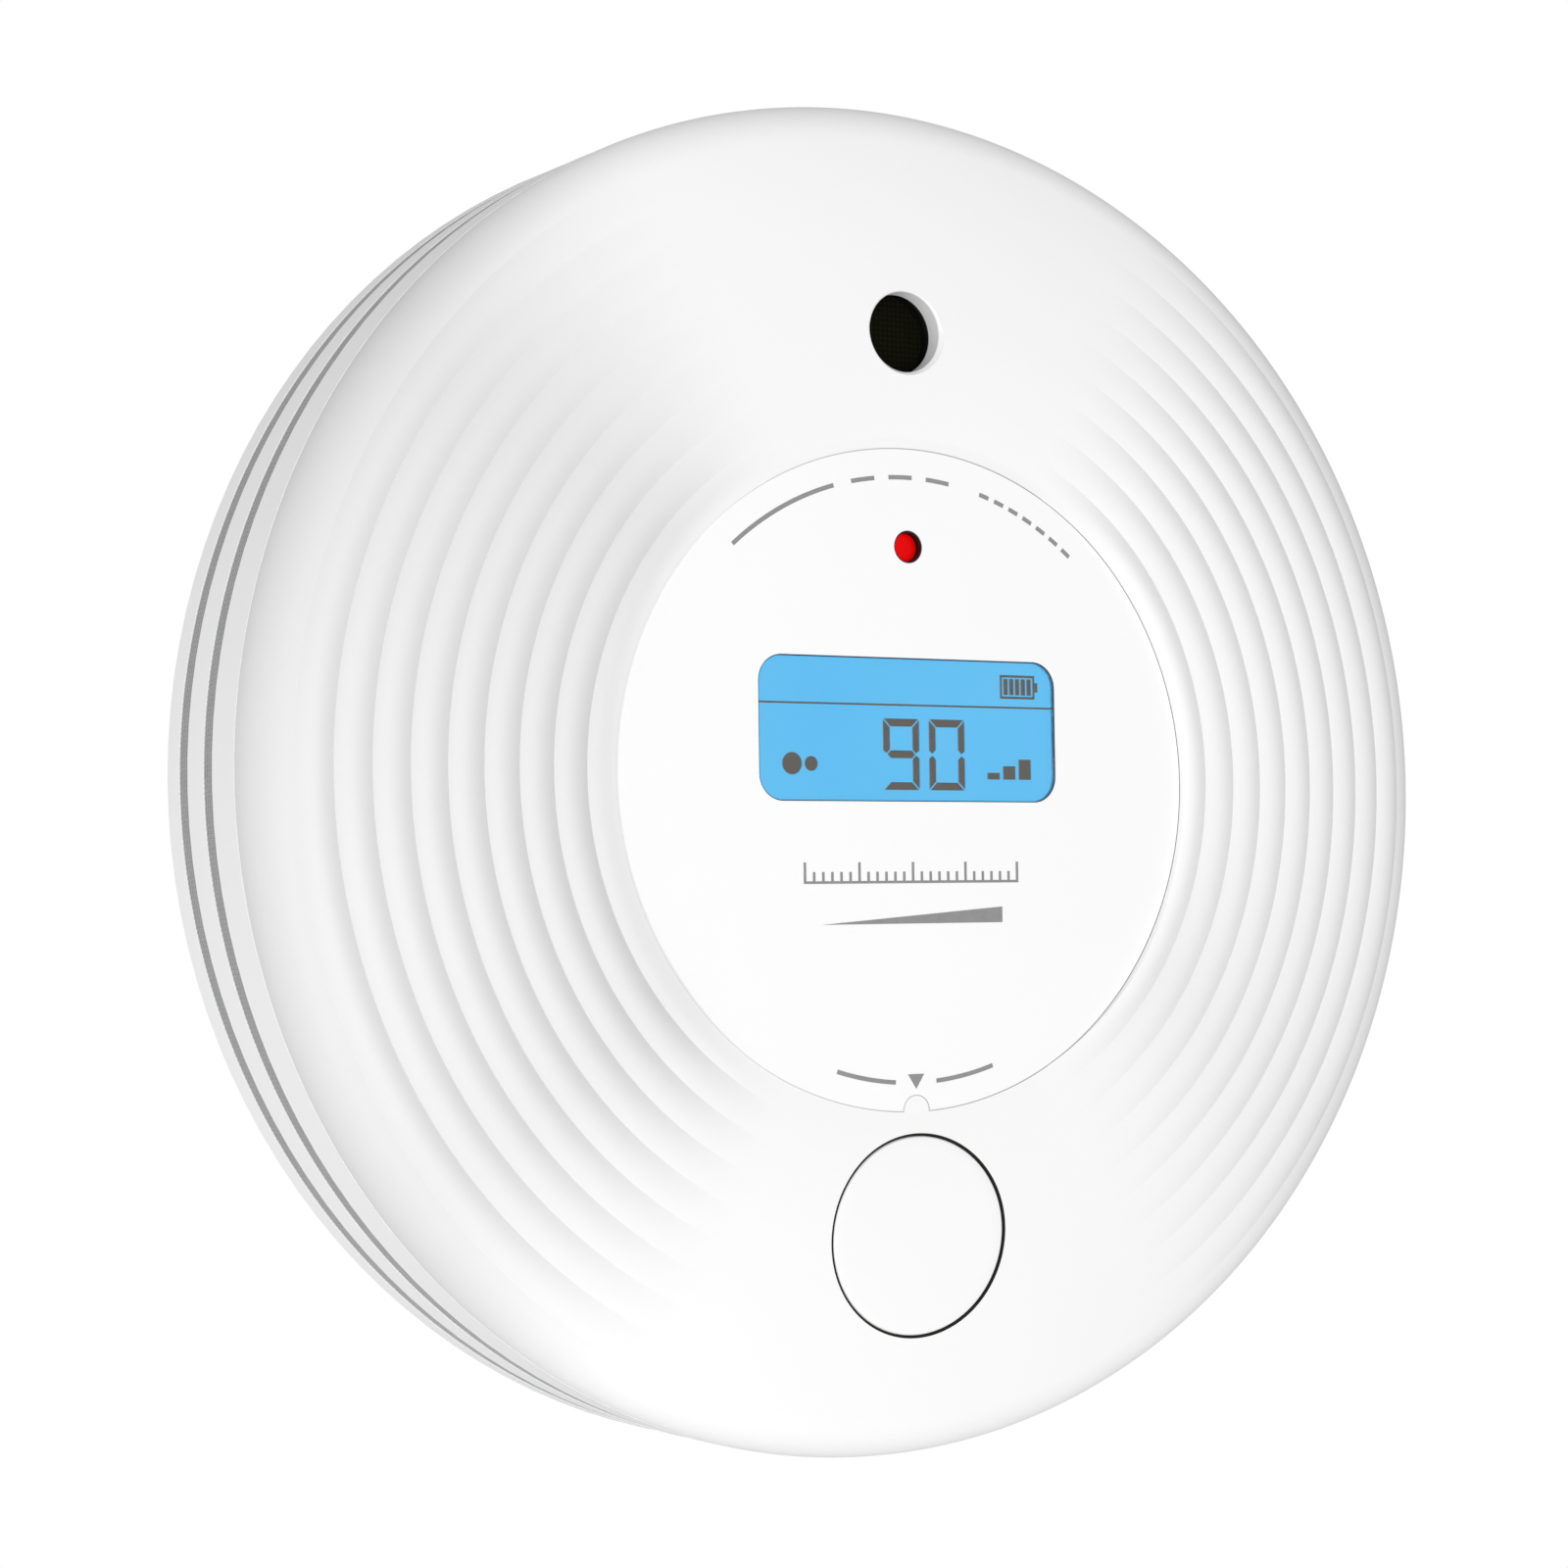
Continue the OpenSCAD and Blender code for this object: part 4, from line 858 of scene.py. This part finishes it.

# Painted shade in the gap at the film's cut edge: grey, and darker to the right as the light falls.
gapShade, tree, shader = newMaterial("labelGapShade", "#A0A0A0", 0.7, 1.5)
spot = addNode(tree, "ShaderNodeTexCoord").outputs["Object"]
sideways = addNode(tree, "ShaderNodeSeparateXYZ", {0: spot}).outputs["X"]
fade = addNode(tree, "ShaderNodeMapRange", {"Value": sideways, "From Min": -24 * mm, "From Max": 30 * mm})
colour = addNode(tree, "ShaderNodeMix", {"Factor": fade.outputs[0], "A": hexColour("#DADADA"),
                                         "B": hexColour("#6A6A6A")}, data_type="RGBA")
tree.links.new(colour.outputs["Result"], shader.inputs["Base Color"])
edging = {"overlap": 0.02, "deep": 0.4, "proud": 0.005}


def labelEdge(e):      # a thin line of painted shade round the label, broken at its notch, and one round the notch
    half = math.degrees(labelNotch["boss"] / labelRadius)
    foot = labelNotch["above"] - labelRadius
    slitIn, slitOut = labelNotch["slit"]
    outlines = [arcPoints(0, 0, labelRadius - e["overlap"], half - 90, 270 - half, 300)
                + arcPoints(0, 0, cover["pocketRadius"] + e["overlap"], 270 - half, half - 90, 300),
                arcPoints(0, foot, slitIn, 0, 180, 20) + arcPoints(0, foot, slitOut, 180, 0, 20)]
    mesh = platesMesh("edge", outlines, 0, nodeCentre("label_disc")[1], labelFront - e["deep"],
                      labelFront + e["proud"])
    takePiece("labelEdge", mesh, gapShade, head)


labelEdge(edging)

display = {"width": 32.9, "height": 13.6, "corner": 2.5, "border": 0.1,
           "filmLow": nodeFront("lcd_glass") + 0.03,
           "filmFront": labelFront - 0.52, "lensLow": labelFront - 0.48, "lensFront": labelFront - 0.1,
           "ink": 0.02, "lineAt": 0.333, "lineThick": 0.18}


def displayPoint(across, down):   # shares of the window's width and height, from its top left corner
    return (across - 0.5) * display["width"], (0.5 - down) * display["height"]


def windowParts(d):
    inset = d["border"] + 0.03
    clear = roundRect(d["width"] - 2 * inset, d["height"] - 2 * inset, d["corner"] - inset, 12)
    lens = platesMesh("lens", [clear], windowX, windowUp, d["lensLow"], d["lensFront"])
    takePiece("windowLens", lens, clearAcrylic, head, ["display_window"])
    under = roundRect(d["width"] + 0.3, d["height"] + 0.3, d["corner"] + 0.15, 12)
    film = platesMesh("film", [under], windowX, windowUp, d["filmLow"], d["filmFront"])
    takePiece("displayFilm", film, blueCell, head)
    wide, tall, line = d["width"], d["height"], d["border"]
    outer = roundRect(wide - 0.02, tall - 0.02, d["corner"], 12)
    inner = roundRect(wide - 2 * line, tall - 2 * line, d["corner"] - line, 12)
    back = d["filmFront"] + 0.01
    sides = ((outer, back), (outer, labelFront - 0.03), (inner, labelFront - 0.06), (inner, back))
    loops = [[place(windowX + x, windowUp + y, out) for x, y in loop] for loop, out in sides]
    mesh = stitchedRings("border", loops)
    takePiece("windowBorder", softEdges(mesh), windowPaint, head)


def segmentOutlines(width, height, thick, gap, which):
    # the chosen ones of a figure's seven bars, with their ends cut to 45 degrees
    h, t = height / 2, thick
    tops = [(gap, height), (width - gap, height), (width - gap - t, height - t), (gap + t, height - t)]
    left = [(0, height - gap), (t, height - gap - t), (t, h + t / 2 + gap), (t / 2, h + gap), (0, h + t / 2)]
    middle = [(gap + t * 0.5, h), (gap + t, h + t / 2), (width - gap - t, h + t / 2),
              (width - gap - t * 0.5, h),
              (width - gap - t, h - t / 2), (gap + t, h - t / 2)]
    bars = {
        "top": tops,
        "middle": middle,
        "bottom": [(x, height - y) for x, y in reversed(tops)],
        "upperLeft": left,
        "upperRight": [(width - x, y) for x, y in reversed(left)],
        "lowerLeft": [(x, height - y) for x, y in reversed(left)],
        "lowerRight": [(width - x, height - y) for x, y in left],
    }
    return [bars[name] for name in which]


readings = {      # places are shares of the window, sizes are in mm
    "figures": (("top", "upperLeft", "upperRight", "middle", "lowerRight", "bottom"),
                ("top", "upperLeft", "upperRight", "lowerLeft", "lowerRight", "bottom")),
    "figuresAt": (0.415, 0.918),
    "figureSize": (4.0, 6.75, 0.74, 0.09),      # width, height, bar and gap
    "figureStep": 5.1,
    "batteryAt": (0.818, 0.095),
    "batterySize": (4.0, 2.3, 0.24),            # width, height and frame
    "nub": 0.34,
    "charge": (5, 0.4, 0.67, 0.5, 0.36),        # bars, start, step, width and margin
    "gasAt": (0.082, 0.823),
    "atoms": ((1.05, 1.05), (3.1, 0.7)),        # each one's place across and radius
    "levelAt": (0.77, 0.838),
    "levels": (0.65, 1.3, 1.95),
    "levelStep": 1.8,
    "levelWide": 1.4,
}


def readout(d, r):
    left, foot = displayPoint(*r["figuresAt"])
    bars = []
    for index, which in enumerate(r["figures"]):
        for outline in segmentOutlines(*r["figureSize"], which):
            bars.append([(left + index * r["figureStep"] + x, foot + y) for x, y in outline])
    bars.append(bar(-d["width"] / 2, displayPoint(0, d["lineAt"])[1], d["width"], d["lineThick"]))
    left, top = displayPoint(*r["batteryAt"])
    wide, tall, frame = r["batterySize"]
    foot = top - tall
    for x, y, w, h in ((0, 0, wide, frame), (0, tall - frame, wide, frame),
                       (0, frame, frame, tall - 2 * frame),
                       (wide - frame, frame, frame, tall - 2 * frame),
                       (wide, tall * 0.3, r["nub"], tall * 0.4)):
        bars.append(bar(left + x, foot + y, w, h))
    count, start, step, thick, margin = r["charge"]
    for k in range(count):
        bars.append(bar(left + start + k * step, foot + margin, thick, tall - 2 * margin))
    left, foot = displayPoint(*r["gasAt"])
    for x, radius in r["atoms"]:      # a gas molecule's two atoms
        bars.append(arcPoints(left + x, foot + 1.1, radius, 0, 345, 23))
    left, foot = displayPoint(*r["levelAt"])
    for k, tall in enumerate(r["levels"]):
        bars.append(bar(left + k * r["levelStep"], foot, r["levelWide"], tall))
    mesh = platesMesh("bars", bars, windowX, windowUp, d["filmFront"] + 0.005, d["filmFront"] + d["ink"])
    takePiece("readoutFigures", mesh, darkSegment, head)


windowParts(display)
readout(display, readings)

# Test button and indicator

print("button and indicator")
cap = {"radius": 9.35, "top": 27.5, "round": 0.25, "sunk": 0.03, "flange": 10.7, "flangeTop": 24.6,
       "under": -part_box("test_button")[1].y / mm, "pocketTop": 25.7, "pocket": 7.8, "stem": 3.0}


def testButtonCap(c):
    rim = arcPoints(c["radius"] - c["round"], c["top"] - c["round"], c["round"], 0, 84, 8)
    crown = [(c["radius"] * k / 8, c["top"]) for k in range(7, -1, -1)]
    under = c["under"]
    profile = [(0, under), (c["stem"], under), (c["stem"], c["pocketTop"]), (c["pocket"], c["pocketTop"]),
               (c["pocket"], under), (c["flange"], under), (c["flange"], c["flangeTop"]),
               (c["radius"], c["flangeTop"])] + rim + crown
    mesh = turnedMesh("button", profile, buttonX, buttonUp, 128, False)
    for v in mesh.vertices:      # the top follows the smooth face round it
        if -v.co.y / mm > c["pocketTop"] + 0.5:
            v.co.y += (c["top"] + c["sunk"] - domeOut(math.hypot(v.co.x, v.co.z) / mm)) * mm
    takePiece("testButtonCap", softEdges(mesh, 40), buttonAbs, "test_button", ["test_button"])


testButtonCap(cap)

# a dark ring of painted shade round the test button
gapShadeRing = {"inner": 9.42, "outer": 9.6, "under": 1.5, "proud": 0.015, "steps": 128}


def buttonGapShade(q):      # painted shade: a dark ring lining the button's hole, flush with the face, for the shaded gap round the cap
    loops = []
    for radius, deep in ((q["inner"], q["under"]), (q["outer"], q["under"]), (q["outer"], 0),
                         (q["inner"], 0)):
        turns = [2 * math.pi * k / q["steps"] for k in range(q["steps"])]
        spots = [(buttonX + radius * math.cos(t), buttonUp + radius * math.sin(t)) for t in turns]
        loops.append([place(x, up, domeOut(math.hypot(x, up)) + q["proud"] - deep) for x, up in spots])
    takePiece("buttonGapShade", softEdges(stitchedRings("gapShadeRing", loops)), rubberAndGapShade, head)


buttonGapShade(gapShadeRing)

# a woven sheet of painted shade over the sounder's brass disc
cloth = {"radius": 4.3, "low": 23.1, "high": 23.2}
disc = [(0, cloth["low"]), (cloth["radius"], cloth["low"]), (cloth["radius"], cloth["high"]),
        (0, cloth["high"])]
takePiece("sounderShadeCloth", softEdges(turnedMesh("cloth", disc, soundX, soundUp, 64, False)), shadeCloth, head)

lamp = {"radius": 1.34, "low": 21.9, "top": labelFront - 0.78, "dome": 0.14, "flange": 2.2, "flangeTop": 22.9}


def indicatorGuide(g):
    domed = [(g["radius"] * math.sin(math.radians(a)), g["top"] + g["dome"] * math.cos(math.radians(a)))
             for a in range(80, -1, -16)]
    profile = [(0, g["low"]), (g["flange"], g["low"]), (g["flange"], g["flangeTop"]),
               (g["radius"], g["flangeTop"]), (g["radius"], g["top"])] + domed
    mesh = softEdges(turnedMesh("lamp", profile, lampX, lampUp, 48, False), 35)
    takePiece("indicatorGuide", mesh, redGuide, head, ["light_pipe"])


indicatorGuide(lamp)

# Finishes of the CAD pieces that stay

print("finishes")
finishes = {
    "mounting_bracket": bracketAbs, "rear_housing": satinAbs, "vent_ring": satinAbs,
    "middle_housing": satinAbs, "battery_door": satinAbs, "case_screws": nickelSteel,
    "label_disc": labelFilm, "lcd_glass": blueCell, "lcd_backlight": lightGuide,
    "lcd_connector": rubberAndGapShade, "led_sleeve": blackAbs, "status_led": paleEpoxy,
    "button_spring": nickelSteel, "tact_switch": blackAbs, "switch_plunger": nickelSteel,
    "main_board": solderMask, "controller_chip": blackAbs, "smoke_chamber_base": blackAbs,
    "smoke_chamber_cover": blackAbs, "smoke_chamber_mesh": nickelSteel, "ir_emitter": paleEpoxy,
    "photodiode": blackAbs, "co_sensor": nickelSteel, "sensor_pins": rolledBrass, "horn_housing": blackAbs,
    "piezo_disc": rolledBrass, "horn_gasket": rubberAndGapShade, "horn_coil": copperWinding,
    "capacitors": shrinkSleeve, "upper_cell": cellWrap, "lower_cell": cellWrap,
    "contact_springs": nickelSteel, "contact_plates": nickelSteel, "rear_insect_screen": greyBacking,
    "front_insect_screen": greyBacking,
}
for name, finish in finishes.items():
    for socket in nodes[name].material_slots:
        socket.material = finish

# Camera, floor and light

print("camera and light")
# angles in degrees, and distances in label radii from the middle of the label's plane
camera = {"azimuth": -29.47, "elevation": -2.385, "roll": -0.764, "distance": 9.078, "lens": 70.7,
          "target": (-0.4427, 0.0, -0.0337)}
azimuth, elevation, roll = (math.radians(camera[key]) for key in ("azimuth", "elevation", "roll"))
backward = Vector((math.sin(azimuth) * math.cos(elevation), -math.cos(azimuth) * math.cos(elevation),
                   math.sin(elevation)))
sideways = (-backward).cross(Vector((0, 0, 1))).normalized()
upward = sideways.cross(-backward)
right = sideways * math.cos(roll) + upward * math.sin(roll)
above = upward * math.cos(roll) - sideways * math.sin(roll)
radius = labelRadius * mm
target = Vector(camera["target"]) * radius + Vector((0, -labelFront * mm, 0))
lensData = bpy.data.cameras.new("camera")
lensData.lens, lensData.sensor_width = camera["lens"], 36.0
lensData.clip_start, lensData.clip_end = 0.01, 20.0
viewer = bpy.data.objects.new("camera", lensData)
scene.collection.objects.link(viewer)
turn = Matrix((right, above, backward)).transposed().to_4x4()
viewer.matrix_world = Matrix.Translation(target + backward * camera["distance"] * radius) @ turn
scene.camera = viewer
scene.view_settings.view_transform = "Standard"

lighting = {"ambient": 0.54, "seen": 1.0, "key": 5.3, "keySize": 0.45, "keyAt": (-0.44, -0.88, -0.16),
            "side": 0.8, "sideAt": (-0.98, -0.1, -0.05)}
world = bpy.data.worlds.new("studio")
scene.world = world
world.use_nodes = True
sky = world.node_tree.nodes["Background"]
ray = addNode(world.node_tree, "ShaderNodeLightPath").outputs["Is Camera Ray"]
shown = addNode(world.node_tree, "ShaderNodeMapRange", {"Value": ray, "To Min": lighting["ambient"],
                                                        "To Max": lighting["seen"]})
world.node_tree.links.new(shown.outputs[0], sky.inputs["Strength"])
sky.inputs["Color"].default_value = (1, 1, 1, 1)

for name in ("key", "side"):
    lampData = bpy.data.lights.new(name, "AREA")
    lampData.energy, lampData.size = lighting[name], lighting["keySize"]
    light = bpy.data.objects.new(name, lampData)
    scene.collection.objects.link(light)
    light.location = lighting[name + "At"]
    light.rotation_mode = "QUATERNION"
    light.rotation_quaternion = (-Vector(lighting[name + "At"])).to_track_quat("-Z", "Y")

paleFloor, tree, shader = newMaterial("paleFloor", "#F4F4F4", 0.9)
ground = {"radius": 1500, "thick": 10, "below": 550}
outline = [(0, 0), (ground["radius"], 0), (ground["radius"], -ground["thick"]), (0, -ground["thick"])]
floorMesh = turnedMesh("floor", outline, 0, 0, 96, False)
floorMesh.transform(Matrix.Rotation(math.radians(90), 4, "X"))
floorMesh.transform(Matrix.Translation((0, 0, -ground["below"] * mm)))
floor = bpy.data.objects.new("floor", floorMesh)
floorMesh.materials.append(paleFloor)
scene.collection.objects.link(floor)

print("done")
